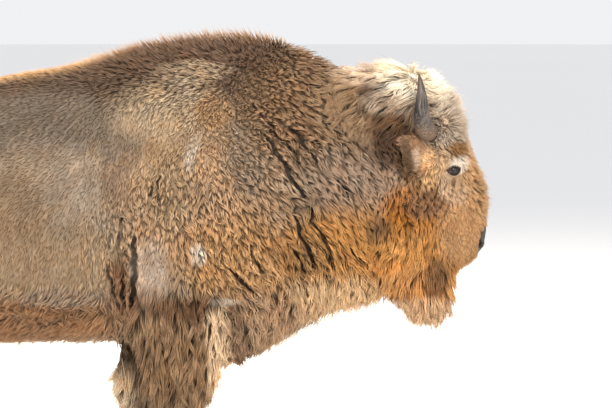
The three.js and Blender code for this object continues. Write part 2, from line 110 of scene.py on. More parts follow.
# %% Shader maths
class Paint:
    """A material's node tree, with one method that adds any node."""

    def __init__(self, name):
        self.material = bpy.data.materials.new(name)
        self.material.use_nodes = True
        self.tree = self.material.node_tree
        self.tree.nodes.clear()

    def node(self, kind, settings=None, out=0, **sockets):
        """Adds a node and gives one of its outputs. Inputs are told by name, or by a number after "_"."""
        made = self.tree.nodes.new(f"ShaderNode{kind}")
        for key, value in (settings or {}).items():
            setattr(made, key, value)
        for key, value in sockets.items():
            index = int(key[1:]) if key[0] == "_" and key[1:].isdigit() else key.replace("_", " ")
            socket = made.inputs[index]
            if isinstance(value, Socket):
                self.tree.links.new(value.socket, socket)
            else:
                socket.default_value = value
        return None if out is None else Socket(self, made.outputs[out])

    def mix(self, factor, a, b):
        """Colour a where the factor is 0, and b where it is 1."""
        return self.node("Mix", {"data_type": "RGBA"}, 2, Factor=factor, _6=rgba(a), _7=rgba(b))

    def finish(self, **sockets):
        """Ends in a Principled shader with these values and links."""
        shader = self.node("BsdfPrincipled", **sockets)
        self.node("OutputMaterial", out=None, Surface=shader)


class Socket:
    """A socket that can be added, multiplied and divided like a number."""

    def __init__(self, paint, socket):
        self.paint = paint
        self.socket = socket

    def maths(self, operation, *values):
        keys = {f"_{i}": value for i, value in enumerate(values)}
        return self.paint.node("Math", {"operation": operation}, **keys)

    def __add__(self, other):
        return self.maths("ADD", self, other)

    def __sub__(self, other):
        return self.maths("SUBTRACT", self, other)

    def __rsub__(self, other):
        return self.maths("SUBTRACT", other, self)

    def __mul__(self, other):
        return self.maths("MULTIPLY", self, other)

    def __truediv__(self, other):
        return self.maths("DIVIDE", self, other)

    __radd__ = __add__
    __rmul__ = __mul__


def rgba(colour):
    """Three numbers get an alpha, and a socket stays as it is."""
    return colour if isinstance(colour, Socket) else (*colour, 1)


def absolute(v):
    return v.maths("ABSOLUTE", v) if isinstance(v, Socket) else np.abs(v)


def sine(v):
    return v.maths("SINE", v) if isinstance(v, Socket) else np.sin(v)


def smooth(v, low, high):
    """0 at `low`, 1 at `high`, with soft ends. `low` may be the greater one."""
    if isinstance(v, Socket):
        settings = {"interpolation_type": "SMOOTHSTEP"}
        sockets = {"Value": v, "From_Min": low, "From_Max": high}
        return v.paint.node("MapRange", settings, **sockets)
    t = np.clip((v - low) / (high - low), 0, 1)
    return t * t * (3 - 2 * t)


def blob(x, z, at, radii, turn=0, edge=0.5):
    """1 inside an ellipse in the side view, 0 outside it, with a soft edge."""
    c, s = math.cos(math.radians(turn)), math.sin(math.radians(turn))
    dx, dz = x - at[0], z - at[1]
    along = (dx * c + dz * s) * (1 / radii[0])
    across = (dz * c - dx * s) * (1 / radii[1])
    return smooth(along * along + across * across, (1 + edge) ** 2, (1 - edge) ** 2)


print("maths ready")

# %% [markdown]
# ## Studio
#
# A pale floor that runs far past the camera, a pale surround and large soft lamps. The strongest lamp
# stands high behind the animal, as a low winter sun would: it lights the hair along the back from behind,
# and leaves the near side to the broad, even lamps in front.

# %% Camera, floor and lamps
def linked(name, data):
    """A new object in the scene."""
    obj = bpy.data.objects.new(name, data)
    bpy.context.scene.collection.objects.link(obj)
    return obj


FRAME_WIDTH = 116.35
VIEW_CENTRE = place(22.75, 0, 66.92)
CAMERA_PLACE = Vector((VIEW_CENTRE.x, -9.0, 1.69))

camera_data = bpy.data.cameras.new("camera")
camera_data.sensor_width = 36
view_line = VIEW_CENTRE - CAMERA_PLACE
camera_data.lens = camera_data.sensor_width * view_line.length / (FRAME_WIDTH * UNIT)
camera_data.clip_end = 500
camera = linked("camera", camera_data)
camera.location = CAMERA_PLACE
camera.rotation_euler = view_line.to_track_quat("-Z", "Y").to_euler()
bpy.context.scene.camera = camera

FLOOR_RADIUS = 150
FLOOR_SHADE, FLOOR_LIGHT = (0.86, 0.86, 0.87), (0.90, 0.90, 0.905)
SURROUND = (0.88, 0.885, 0.90)


def from_bmesh(name, bm):
    mesh = bpy.data.meshes.new(name)
    bm.to_mesh(mesh)
    bm.free()
    return linked(name, mesh)


disc = bmesh.new()
bmesh.ops.create_circle(disc, cap_ends=True, segments=96, radius=FLOOR_RADIUS)
floor = from_bmesh("floor", disc)
snow = Paint("floor_white")
blotch = snow.node("TexNoise", {}, Scale=3.0, Detail=3.0)
snow.finish(Base_Color=snow.mix(blotch, FLOOR_SHADE, FLOOR_LIGHT), Roughness=0.8)
floor.data.materials.append(snow.material)

world = bpy.data.worlds.new("studio")
world.use_nodes = True
world.node_tree.nodes["Background"].inputs["Color"].default_value = rgba(SURROUND)
world.node_tree.nodes["Background"].inputs["Strength"].default_value = 1.0
bpy.context.scene.world = world

LAMPS = {  # place, width and height in metres, watts and colour
    "back_sun": ((-1.0, 5.5, 8.0), (2.6, 2.2), 1300, (1.0, 0.87, 0.68)),
    "front_sky": ((0.5, -8.0, 6.5), (4.0, 2.4), 950, (1.0, 0.93, 0.84)),
    "low_fill": ((5.0, -5.0, 2.0), (3.0, 2.0), 110, (1.0, 0.94, 0.86)),
}
for name, (at, (wide, high), power, colour) in LAMPS.items():
    lamp_data = bpy.data.lights.new(name, "AREA")
    lamp_data.shape = "RECTANGLE"
    lamp_data.size, lamp_data.size_y = wide, high
    lamp_data.energy = power
    lamp_data.color = colour
    lamp = linked(name, lamp_data)
    lamp.location = at
    lamp.rotation_euler = (VIEW_CENTRE - Vector(at)).to_track_quat("-Z", "Y").to_euler()
bpy.context.scene.view_settings.view_transform = "Standard"
print("camera lens", round(camera_data.lens, 1), "mm")

# %% [markdown]
# ## One skin from many solids
#
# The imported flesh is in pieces, parted by hairline cuts, and it is faceted. Each piece is copied, its loose
# triangles are merged, and it is swelled a little so that neighbours overlap. A voxel remesh then makes one
# closed surface of them all. Sculpting or lofting it anew could drift from the solids; this way can't.

# %% Merge the flesh
SAME_PLACE = 1e-5  # metres


def merged_copy(node):
    bm = bmesh.new()
    bm.from_mesh(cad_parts[node].data)
    bmesh.ops.remove_doubles(bm, verts=bm.verts, dist=SAME_PLACE)
    return bm


def swell(bm, distance):
    bm.normal_update()
    for v in bm.verts:
        v.co += v.normal * distance


def evaluated(obj):
    """The object's mesh with its modifiers worked in."""
    graph = bpy.context.evaluated_depsgraph_get()
    return bpy.data.meshes.new_from_object(obj.evaluated_get(graph))


def tree_of(meshes):
    """A search tree over the triangles of several meshes."""
    corners, faces = [], []
    for mesh in meshes:
        faces += [[v + len(corners) for v in polygon.vertices] for polygon in mesh.polygons]
        corners += [v.co.copy() for v in mesh.vertices]
    return BVHTree.FromPolygons(corners, faces)


def nearest(tree, points):
    """For each place: the nearest place on a surface, and the direction straight out of it."""
    found = [tree.find_nearest(point)[:2] for point in points]
    return np.array([f[0] for f in found]), np.array([f[1] for f in found])


def pour(part, whole):
    """Adds one bmesh to another, and frees it."""
    scrap = bpy.data.meshes.new("scrap")
    part.to_mesh(scrap)
    part.free()
    whole.from_mesh(scrap)
    bpy.data.meshes.remove(scrap)


SWELL = 0.0015  # metres
FILL_SWELL = 0.006
VOXEL = 0.007
HORN_ROOT_REACH = 8.2  # hundredths out from the middle


def horn_root(side):
    """The lowest part of a horn's solid, closed with a cap: it fills the pit that the horn stands in."""
    bm = merged_copy(f"horn_{side}")
    cut = Vector((0, middle("head").y + SIDES[side] * HORN_ROOT_REACH * UNIT, 0))
    every = bm.verts[:] + bm.edges[:] + bm.faces[:]
    bmesh.ops.bisect_plane(bm, geom=every, plane_co=cut, plane_no=(0, SIDES[side], 0), clear_outer=True)
    bmesh.ops.holes_fill(bm, edges=bm.edges)
    return bm


fillings = [(merged_copy(node), SWELL) for node in FLESH]
fillings += [(horn_root(side), FILL_SWELL) for side in SIDES]
fillings += [(merged_copy(f"eye_{side}"), SWELL) for side in SIDES]
gathered = bmesh.new()
for part, growth in fillings:
    swell(part, growth)
    pour(part, gathered)

skin = from_bmesh("skin", gathered)
remesh = skin.modifiers.new("one surface", "REMESH")
remesh.mode = "VOXEL"
remesh.voxel_size = VOXEL
skin.data = evaluated(skin)
skin.modifiers.clear()
print("skin has", len(skin.data.vertices), "vertices")

# %% [markdown]
# ## Body coordinates and zones
#
# A zone is a named region of the animal, given by a soft-edged mask. The same zones say how deep the coat
# is, where the mesh stays fine, which way the hair lies and what colour it is.


# %% Zones
def body(points):
    """X, Y and Z in hundredths of the height, for an array of places in metres."""
    return (points[:, 0] - FOREFOOT) / UNIT, np.abs(points[:, 1]) / UNIT, points[:, 2] / UNIT


def unit(vectors):
    return vectors / np.maximum(np.linalg.norm(vectors, axis=-1, keepdims=True), 1e-9)


def to_segment(points, a, b):
    """Distance to the straight stretch from a to b, and how far along it the nearest point lies."""
    a, b = np.array(a), np.array(b)
    t = np.clip((points - a) @ (b - a) / ((b - a) @ (b - a)), 0, 1)
    return np.linalg.norm(points - a - t[:, None] * (b - a), axis=1), t


def ear_axis(side):
    """From the root of an ear to its tip."""
    low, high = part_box(f"ear_{side}")
    inner, outer = (low.y, high.y) if SIDES[side] > 0 else (high.y, low.y)
    return (high.x, inner, low.z + 0.3 * (high.z - low.z)), (low.x, outer, high.z)


ear_tree = tree_of([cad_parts[f"ear_{side}"].data for side in SIDES])
EAR_MARGIN = (0.016, 0.007)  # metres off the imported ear, where the mask ends and where it is full
EAR_CLOSE = 0.11  # metres off its axis, beyond which nothing is measured


def on_ear(points):
    """1 on the ears, 0 elsewhere. Only places near the ears are measured."""
    mask = np.zeros(len(points))
    axes = [to_segment(points, *ear_axis(side))[0] for side in SIDES]
    close = np.minimum(*axes) < EAR_CLOSE
    if close.any():
        found, _ = nearest(ear_tree, points[close])
        mask[close] = smooth(np.linalg.norm(points[close] - found, axis=1), *EAR_MARGIN)
    return mask


def oval(*shape):
    """A zone inside an ellipse of the side view."""
    return lambda x, y, z: blob(x, z, *shape)


ZONES = {
    "shoulder": oval((6, 74), (22, 27)),
    "hump": oval((4, 99), (34, 11.5), -4),
    "neck": oval((29, 70), (12, 30)),
    "throat": oval((30, 49), (14, 8), 12),
    "head": lambda x, y, z: smooth(x + 0.1 * z, 44, 47.5) * smooth(z, 52, 56),
    "crown": lambda x, y, z: blob(x, z, (38.5, 87.5), (10.0, 6.4), -18) * smooth(x, 46.8, 44.4),
    "forehead": lambda x, y, z: blob(x, z, (50.5, 84.5), (6.5, 9.5), -20, 0.4) * smooth(z, 75, 79),
    "cheek": oval((43, 63), (8, 10)),
    "face": oval((53, 68), (5, 11), 8),
    "bridge": lambda x, y, z: smooth(x + 0.36 * z, 77.0, 80.0) * smooth(z, 61, 64.5),
    "muzzle": oval((53.5, 60), (5, 6.5)),
    "nose": lambda x, y, z: blob(x, z, (57.0, 60.2), (1.5, 3.3), -10, 0.2) * smooth(y, 4.6, 3.6),
    "beard": oval((45.5, 47.5), (8, 7.5)),
    "pantaloon": oval((-2.5, 38), (14, 12)),
    "shin": lambda x, y, z: smooth(z, 29, 22),
    "tail": lambda x, y, z: smooth(x, -110, -112.5) * smooth(y, 4, 2.5),
    "belly": lambda x, y, z: smooth(z, 50, 42) * smooth(x, -6, -14),
}
print("zones:", ", ".join(ZONES))

# %% [markdown]
# ## Fewer faces where they are hidden
#
# The far foreleg is first trimmed behind its elbow, where daylight shows between the legs. This surface is
# kept in a search tree: it is where the tips of the hair will end. Then the mesh is thinned. Under the deep
# coat the skin needs few faces, but the head and the lower legs keep all of theirs, because there the coat
# is short, and lids and nostrils will be pressed into the surface.


# %% Thin the mesh
def column(items, what, width=1, kind=float):
    """One property of all vertices, edges or corners, as an array with a row for each."""
    values = np.empty(len(items) * width, kind)
    items.foreach_get(what, values)
    return values.reshape(-1, width) if width > 1 else values


def read(mesh, what):
    return column(mesh.vertices, what, 3)


def write_back(mesh, places):
    mesh.vertices.foreach_set("co", places.ravel())
    mesh.update()


KEPT_SHARE = 0.26  # of the faces
ELBOW_HEIGHTS = [28, 30, 33, 36, 39, 42]
ELBOW_BACKS = [-15.9, -15.0, -13.7, -12.4, -11.2, -10.8]  # the foreleg's back edge at those heights
TRIM = 0.9  # share of what lies beyond that edge

places = read(skin.data, "co")
x, y, z = body(places)
too_far_back = np.clip(np.interp(z, ELBOW_HEIGHTS, ELBOW_BACKS) - x, 0, None) * (x > -20)
behind_elbow = smooth(z, 42.5, 40.5) * smooth(z, 26.5, 28.5) * smooth(y, 5.0, 7.0)
places[:, 0] += TRIM * too_far_back * behind_elbow * UNIT
write_back(skin.data, places)
shell_tree = tree_of([skin.data])
kept_fine = np.maximum(ZONES["head"](x, y, z), np.maximum(ZONES["shin"](x, y, z), on_ear(places)))
hidden = skin.vertex_groups.new(name="hidden")
hidden.add(np.flatnonzero(kept_fine < 0.5).tolist(), 1, "REPLACE")
thin = skin.modifiers.new("fewer faces", "DECIMATE")
thin.ratio = KEPT_SHARE
thin.vertex_group = "hidden"
skin.data = evaluated(skin)
skin.modifiers.clear()
skin.vertex_groups.clear()
print("skin now has", len(skin.data.vertices), "vertices")

# %% [markdown]
# ## How deep the coat is
#
# The solids reach to the tips of the hair, so the skin lies inside them: a few millimetres on the muzzle,
# ears and shins, one centimetre on the barrel, and three in the beard and on the crown. The table is read
# like layers of paint: each row covers what lies under it, as far as its mask reaches. Round the dewclaws
# the skin is pushed out instead, because they sit in a rounded fetlock.

# %% Depth of the coat
DEPTHS = [  # in millimetres
    ("shoulder", 19), ("hump", 17), ("neck", 22), ("head", 16), ("throat", 34), ("crown", 34),
    ("forehead", 32), ("cheek", 20), ("face", 11), ("bridge", 18), ("muzzle", 8), ("nose", 1),
    ("beard", 32), ("pantaloon", 30), ("shin", 6), ("tail", 8),
]
BARREL_DEPTH = 11
EAR_DEPTH = 3


def near_any(points, centres, far, close):
    """1 close to one of the places, and 0 beyond the far distance."""
    gaps = [np.linalg.norm(points - np.array(centre), axis=1) for centre in centres]
    return smooth(np.minimum.reduce(gaps), far, close)


horn_foot = {side: place(46.4, SIDES[side] * 9.0, 81.1) for side in SIDES}
FEET = [f"{end}_{side}_{toe}" for end in ("fore", "hind") for side in SIDES for toe in ("inner", "outer")]
dewclaws = [middle(f"dewclaw_{foot}") for foot in FEET]
SPOTS = [  # the metres at which each mask ends and is full, and the depth in millimetres
    (eye_place.values(), 0.055, 0.028, 4),
    (horn_foot.values(), 0.06, 0.03, 7),
    (dewclaws, 0.044, 0.026, -6),
]


def coat_depth(points):
    x, y, z = body(points)
    depth = np.full(len(points), BARREL_DEPTH * 1.0)
    for zone, value in DEPTHS:
        depth += ZONES[zone](x, y, z) * (value - depth)
    depth += on_ear(points) * (EAR_DEPTH - depth)
    for centres, far, close, value in SPOTS:
        depth += near_any(points, centres, far, close) * (value - depth)
    return depth / 1000


def pairs_of(mesh):
    """The two ends of every edge."""
    return column(mesh.edges, "vertices", 2, int)


def relax(values, pairs, rounds, weight=0.5):
    """Moves every row towards the mean of its neighbours'."""
    count = np.bincount(pairs.ravel(), minlength=len(values))[:, None]
    for _ in range(rounds):
        total = np.empty_like(values)
        for axis in range(values.shape[1]):
            total[:, axis] = np.bincount(pairs[:, 0], values[pairs[:, 1], axis], len(values))
            total[:, axis] += np.bincount(pairs[:, 1], values[pairs[:, 0], axis], len(values))
        values = values + (total / count - values) * weight
    return values


DRAW_ROUNDS = 5
FIRMNESS = 0.8  # how much less the ears and shins are smoothed

pairs = pairs_of(skin.data)
places = read(skin.data, "co")
x, y, z = body(places)
firm = np.maximum(on_ear(places), ZONES["shin"](x, y, z))[:, None]
softness = 0.5 * (1 - FIRMNESS * firm)
places = relax(places, pairs, 6, softness)
write_back(skin.data, places)
for _ in range(DRAW_ROUNDS):
    depth = coat_depth(places)[:, None] / DRAW_ROUNDS
    inward = relax(read(skin.data, "normal"), pairs, 3)
    places = relax(places - inward * depth, pairs, 3, softness)
    write_back(skin.data, places)
print("skin drawn in")

# %% [markdown]
# ## Creases
#
# Wool parts in long creases where the neck bends and behind the elbow, and in many short wrinkles. Each is
# a line through a few places seen from the side. The skin is folded in along the wide ones. Later no tuft
# takes root in a crease, and those beside it are combed to their own bank: hair would bridge a groove in
# the skin alone.

# %% Creases in the wool
CREASES = [  # reach to each side in millimetres, then X and Z of the places it runs through
    (3, [(7.6, 85.0), (9.1, 83.1), (10.6, 80.9), (11.7, 78.3)]),
    (6, [(12.8, 86.1), (17.4, 80.5), (20.9, 76.5), (22.0, 74.6)]),
    (8, [(14.3, 81.5), (18.7, 75.0), (20.9, 71.0), (22.9, 68.4)]),
    (7, [(16.3, 83.9), (20.9, 80.5), (23.3, 77.6), (25.3, 73.9)]),
    (6, [(22.0, 81.4), (24.0, 79.8), (25.7, 77.6)]),
    (5, [(27.4, 73.5), (29.6, 70.9), (31.3, 67.9)]),
    (8, [(20.4, 67.2), (21.8, 61.8), (24.0, 57.6), (23.5, 54.2)]),
    (7, [(23.5, 67.7), (23.9, 64.6), (26.6, 60.5), (27.8, 54.9)]),
    (6, [(19.8, 61.2), (21.8, 56.6), (23.5, 53.5)]),
    (6, [(12.4, 60.2), (13.5, 56.8), (15.0, 55.0)]),
    (4, [(9.1, 63.3), (10.2, 61.3)]),
    (6, [(6.9, 57.9), (9.8, 54.6), (12.0, 52.8), (14.3, 50.2)]),
    (5, [(17.9, 52.2), (19.0, 50.4), (17.9, 48.5)]),
    (10, [(-8.9, 63.0), (-8.8, 57.4), (-8.9, 54.0), (-9.6, 48.5)]),
    (4, [(-13.7, 71.0), (-13.9, 68.0), (-13.6, 65.0)]),
    (7, [(-10.9, 55.4), (-11.1, 51.6), (-10.8, 47.6)]),
    (5, [(-11.1, 66.1), (-11.5, 62.6), (-11.8, 59.0)]),
    (5, [(-12.9, 64.8), (-14.0, 57.4), (-12.9, 52.3), (-11.5, 48.2)]),
    (4, [(-15.5, 54.1), (-14.4, 50.4), (-12.2, 47.5)]),
    (5, [(-4.1, 74.7), (-4.5, 70.7), (-4.1, 67.3)]),
    (5, [(-5.6, 72.1), (-5.9, 67.9)]),
    (4, [(-1.9, 73.2), (-2.6, 68.1), (-3.0, 62.9)]),
    (4, [(-33.7, 48.8), (-26.3, 49.6), (-20.8, 48.1), (-16.0, 49.2)]),
    (3, [(-31.8, 47.0), (-25.4, 46.2), (-18.9, 47.0)]),
    (4, [(3.9, 77.9), (4.7, 73.9), (4.3, 69.4)]),
    (5, [(30.9, 59.5), (33.2, 56.9), (35.0, 55.8)]),
    (5, [(25.0, 61.0), (27.2, 56.9)]),
    (6, [(35.8, 83.6), (37.3, 80.7), (39.9, 77.7), (41.0, 74.3)]),
    (5, [(37.3, 85.5), (38.8, 82.5), (42.2, 81.8)]),
    (6, [(30.2, 90.0), (32.0, 85.9), (33.2, 81.9)]),
]
WRINKLES = 46
dice = np.random.default_rng(5)
for _ in range(WRINKLES):
    x, z = dice.uniform(-4, 31), dice.uniform(52, 84)
    slope, reach = dice.normal(0.25 + 0.02 * x, 0.18), dice.uniform(1.2, 3.2)
    line = [(x + (slope * k + dice.normal(0, 0.12)) * reach, z - k * reach) for k in (0, 0.5, 1)]
    CREASES.append((dice.uniform(1.8, 3.4), line))
CREASE_WOBBLE = 0.24  # hundredths
CREASE_SCALE = 0.85
CREASE_AROUND = 4.0  # hundredths beyond a crease's ends, within which places are measured
FAR_OFF = 99.0  # half widths, for a place with no crease near it


def bell(v, peak, width):
    """1 where v is at the peak, and falling off softly on both sides."""
    return np.exp(-(((v - peak) / width) ** 2))


def refine(mesh, picked):
    """Halves every edge that the test picks."""
    bm = bmesh.new()
    bm.from_mesh(mesh)
    bm.verts.ensure_lookup_table()
    edges = [e for e in bm.edges if picked(e)]
    bmesh.ops.subdivide_edges(bm, edges=edges, cuts=1, use_grid_fill=True)
    bm.to_mesh(mesh)
    bm.free()


def crease_at(points, narrowest=0):
    """The crease nearest to each place.

    Gives how many half widths off it the place is, its half width, the ways off and along it, and its number.
    """
    x, y, z = body(points)
    wobble = CREASE_WOBBLE * (np.sin(z * 1.9 + x * 0.7) + 0.6 * np.sin(z * 4.3 - x * 1.3))
    flat = np.stack([x + wobble, z + 0.5 * wobble], axis=1)
    gap, half = np.full(len(points), FAR_OFF), np.full(len(points), 0.001)
    off, run = np.zeros((len(points), 3)), np.tile([0.0, 0.0, -1.0], (len(points), 1))
    which = np.full(len(points), -1)
    for serial, (width, line) in enumerate(CREASES):
        if width < narrowest:
            continue
        low, high = np.min(line, axis=0) - CREASE_AROUND, np.max(line, axis=0) + CREASE_AROUND
        close = np.flatnonzero(np.all((flat > low) & (flat < high), axis=1) & (y > 4))
        for k, (a, b) in enumerate(zip(line, line[1:])):
            distance, share = to_segment(flat[close], a, b)
            done = (k + share) / (len(line) - 1)
            taper = 0.3 + 0.7 * np.sqrt(4 * done * (1 - done))
            half_width = width * CREASE_SCALE / 1000 * taper
            here = distance * UNIT / half_width
            nearer = here < gap[close]
            found = close[nearer]
            gap[found], half[found], which[found] = here[nearer], half_width[nearer], serial
            sideways = flat[close] - np.array(a) - share[:, None] * (np.array(b) - np.array(a))
            off[found] = np.insert(sideways, 1, 0, axis=1)[nearer]
            run[found] = Vector((b[0] - a[0], 0, b[1] - a[1])).normalized()
    return gap + FAR_OFF * smooth(y, 8, 4), half, unit(off), run, which


CREASE_CUTS = (3.2, 1.9)  # half widths
WIDE = 5
FOLD_IN, FOLD_OUT = 0.013, 0.005  # metres

for limit in CREASE_CUTS:
    gap = crease_at(read(skin.data, "co"), WIDE)[0]
    refine(skin.data, lambda edge: min(gap[v.index] for v in edge.verts) < limit)
places = read(skin.data, "co")
gap = crease_at(places, WIDE)[0]
fold_by = FOLD_OUT * bell(gap, 2.3, 0.9) - FOLD_IN * bell(gap, 0, 1.2)
places = places + read(skin.data, "normal") * fold_by[:, None]
write_back(skin.data, relax(places, pairs_of(skin.data), 2, 0.4 * bell(gap, 0, 3)[:, None]))
print(len(CREASES), "creases; the skin has", len(skin.data.polygons), "faces")

# %% [markdown]
# ## Finer faces round the eyes, nostrils and mouth
#
# Lids and nostrils are smaller than the voxels were. Their surroundings are subdivided a few times, in
# shrinking circles, before they are shaped. Subdividing the whole skin would cost a million faces.

# %% Subdivide the face
CROWN = place(40.2, 0, 90.5)
TILT = math.radians(20)
DOWN = Vector((math.sin(TILT), 0, -math.cos(TILT)))
OUT = Vector((math.cos(TILT), 0, math.sin(TILT)))


def on_head(down, side, out):
    """A place in the head's own frame: down the face, sideways, and out from it, all in hundredths."""
    return CROWN + DOWN * (down * UNIT) + OUT * (out * UNIT) + Vector((0, side * UNIT, 0))


NOSTRIL = (34.4, 2.7, 4.3)  # down, sideways, out
muzzle_middle = on_head(35.5, 0, 0)
nostrils = [on_head(NOSTRIL[0], side * NOSTRIL[1], NOSTRIL[2]) for side in SIDES.values()]
ROUNDS_OF_CUTS = [
    ([muzzle_middle], 0.125),
    (list(eye_place.values()), 0.062),
    (list(eye_place.values()), 0.047),
    (nostrils, 0.045),
    (list(eye_place.values()), 0.036),
]
for centres, reach in ROUNDS_OF_CUTS:
    refine(skin.data, lambda edge: any((edge.verts[0].co - c).length < reach for c in centres))
places = read(skin.data, "co")
near_face = near_any(places, list(eye_place.values()) + [muzzle_middle], 0.12, 0.06)[:, None]
places = relax(places, pairs_of(skin.data), 4, 0.5 * near_face)
write_back(skin.data, places)
print("skin has", len(skin.data.polygons), "faces")

# %% [markdown]
# ## Lids, nostrils and lips
#
# Each is pressed or pulled out of the skin by a formula, on one half of the face: places are folded to one
# side, moved, and folded back. A lid follows a ball a little larger than the eye, and falls back to the
# cheek within a thumb's breadth. Inside the opening the skin dives behind the eyeball. Separate rings for
# lids would leave seams in the fur.

# %% Shape the lids
EYE_RADIUS = 18.5  # millimetres, as are the next four
EYE_SINK = 3.5
BEHIND_BALL = 3.0
LID = 2.6
OPENING = (19.5, 10.5, 13.0)  # half its width, then its height above and below the middle
OPENING_SLANT = math.radians(6)
LID_REACH = (2.15, 1.15)  # shares of the opening, from where the lid starts to where it is whole
LID_FOLDS = ((1.3, 1.5, 0.07), (1.0, 1.85, 0.08))  # depth, then place and width as shares of the opening
EYE_AROUND = (55, 45)  # millimetres across the skin, and in and out


def surface_axes(points, normals, centre, reach, towards, slant):
    """Forward, up and outward directions on the skin at a place, turned by a slant."""
    near = np.linalg.norm(points - np.array(centre), axis=1) < reach
    out = Vector(normals[near].mean(axis=0)).normalized()
    forward = (towards - out * towards.dot(out)).normalized()
    forward = Matrix.Rotation(-slant, 3, out) @ forward
    return forward, forward.cross(out), out


def opening_ratio(u, v, wide, high, low):
    """Below 1 inside an almond opening, 1 on its edge."""
    half = np.where(v > 0, high, low) * (1.12 - 0.22 * (u / wide) ** 2)
    return np.sqrt((u / wide) ** 2 + (v / np.maximum(half, 1)) ** 2)


places = read(skin.data, "co")
fold = np.where(places[:, 1:2] < 0, [1, -1, 1], [1, 1, 1])
places = places * fold
normals = read(skin.data, "normal") * fold

forward, up, out = surface_axes(places, normals, eye_place["left"], 0.03, Vector((1, 0, 0)), OPENING_SLANT)
eye_axes = np.array([forward, up, out])
eyeball = np.array(eye_place["left"] - out * (EYE_SINK / 1000))
u, v, w = ((places - eyeball) @ eye_axes.T * 1000).T
ratio = opening_ratio(u, v, *OPENING)
near_eye = (np.abs(w) < EYE_AROUND[1]) & (u * u + v * v < EYE_AROUND[0] ** 2)
squeeze = np.where(np.abs(ratio - 1) < 0.12, (1 + (ratio - 1) * 0.2) / ratio, 1)
u, v = u * squeeze, v * squeeze
ratio = opening_ratio(u, v, *OPENING)
lid_ball = EYE_RADIUS + LID
on_lid = lid_ball - (u * u + v * v) / (2.1 * lid_ball)
folds = sum(deep * bell(ratio, peak, width) for deep, peak, width in LID_FOLDS)
falling = smooth(ratio, *LID_REACH)
lifted = w + falling * (on_lid - w) - folds * smooth(ratio, 2.4, 2.0)
lifted = np.where(ratio < 0.985, BEHIND_BALL, lifted)
shaped = eyeball + np.stack([u, v, lifted], axis=1) / 1000 @ eye_axes
places = np.where(near_eye[:, None], shaped, places)
upper = smooth(v, 0, 5)
wet_rim = smooth(ratio, 1.22 + 0.24 * upper, 1.10 + 0.20 * upper)
corner_line = 0.8 * bell(v, 1.5, 2.2) * smooth(u, -17, -20) * smooth(u, -31, -25)
wet_rim = np.where(near_eye, np.maximum(wet_rim, corner_line), 0)
print("the eye looks along", [round(c, 2) for c in eye_axes[2]])

# %% Press in the nostrils
NOSTRIL_SIZE = (16, 7.5)  # millimetres, as are the next two
NOSTRIL_DEPTH = 20
NOSTRIL_WING = 4.0
NOSTRIL_SLANT = math.radians(-35)
NOSTRIL_AROUND = (45, 40)  # millimetres across the skin, and in and out

at = on_head(*NOSTRIL)
side_axis, up_axis, out_axis = surface_axes(places, normals, at, 0.022, Vector((0, 1, 0)), NOSTRIL_SLANT)
nose_axes = np.array([side_axis, up_axis, out_axis])
if nose_axes[1, 2] < 0:
    nose_axes[1] *= -1
u, v, w = ((places - np.array(at)) @ nose_axes.T * 1000).T
v_bent = v - 0.022 * u * u + 3
hole = np.sqrt((u / NOSTRIL_SIZE[0]) ** 2 + (v_bent / (NOSTRIL_SIZE[1] * (1 - 0.025 * u))) ** 2)
near_nose = (np.abs(w) < NOSTRIL_AROUND[1]) & (u * u + v * v < NOSTRIL_AROUND[0] ** 2)
pit = NOSTRIL_DEPTH * smooth(hole, 1.05, 0.45)
wing = NOSTRIL_WING * bell(hole, 1.45, 0.35)
shift = np.where(near_nose, wing - pit, 0)
places = places + shift[:, None] * nose_axes[2] / 1000
# Painted shade in the nostril's pit.
nostril_shade = np.where(near_nose, smooth(hole, 1.1, 0.8), 0)
print("the nostril looks along", [round(c, 2) for c in nose_axes[2]])

# %% Part the lips
LIP_FRONT = (55.3, 57.2)  # X and Z of the mouth line in front
LIP_SLOPE = 0.26
LIP_RISE, MOUTH_DEPTH = 2.0, 5.0  # millimetres

x, y, z = body(places)
off_mouth = (z - (LIP_FRONT[1] + (LIP_FRONT[0] - x) * LIP_SLOPE)) * UNIT * 1000
mouth = smooth(x, 48.2, 50.2) * smooth(z, 54, 55.5)
slit = bell(off_mouth, 0, 2.4)
lips = LIP_RISE * bell(np.abs(off_mouth), 7, 4) - MOUTH_DEPTH * slit
normals = read(skin.data, "normal") * fold
places = places + (mouth * lips)[:, None] * normals / 1000
# Painted shade in the slit between the lips.
mouth_shade = 0.8 * mouth * slit
write_back(skin.data, places * fold)


def store(mesh, name, values):
    """Keeps one number per vertex as an attribute, for a material to read."""
    layer = mesh.attributes.new(name, "FLOAT", "POINT")
    layer.data.foreach_set("value", np.asarray(values, np.float32))


# Dark wet lid rims, with painted shade in the nostrils and the mouth's slit.
store(skin.data, "rim", np.maximum(wet_rim, np.maximum(nostril_shade, mouth_shade)))
# Painted shade in the skin's creases.
store(skin.data, "crease", smooth(crease_at(places * fold, WIDE)[0], 1.8, 0.9))
store(skin.data, "ear", on_ear(places * fold))
print("the face is shaped; its lips are parted from", round(float(x[mouth > 0.5].min()), 1), "forwards")

# %% [markdown]
# ## Unwrap the skin
#
# The coat's tufts will each take their bake space from the place on the skin where they grow, so the skin
# is unwrapped by its own shape first.

# %% Unwrap
BAKE_MAP = "OFBake"
skin.data.uv_layers.new(name=BAKE_MAP)
bpy.context.view_layer.objects.active = skin
bpy.ops.object.mode_set(mode="EDIT")
bpy.ops.mesh.select_all(action="SELECT")
bpy.ops.uv.smart_project(angle_limit=math.radians(66), island_margin=0.002)
bpy.ops.object.mode_set(mode="OBJECT")
print("skin unwrapped with", len(skin.data.uv_layers), "map")
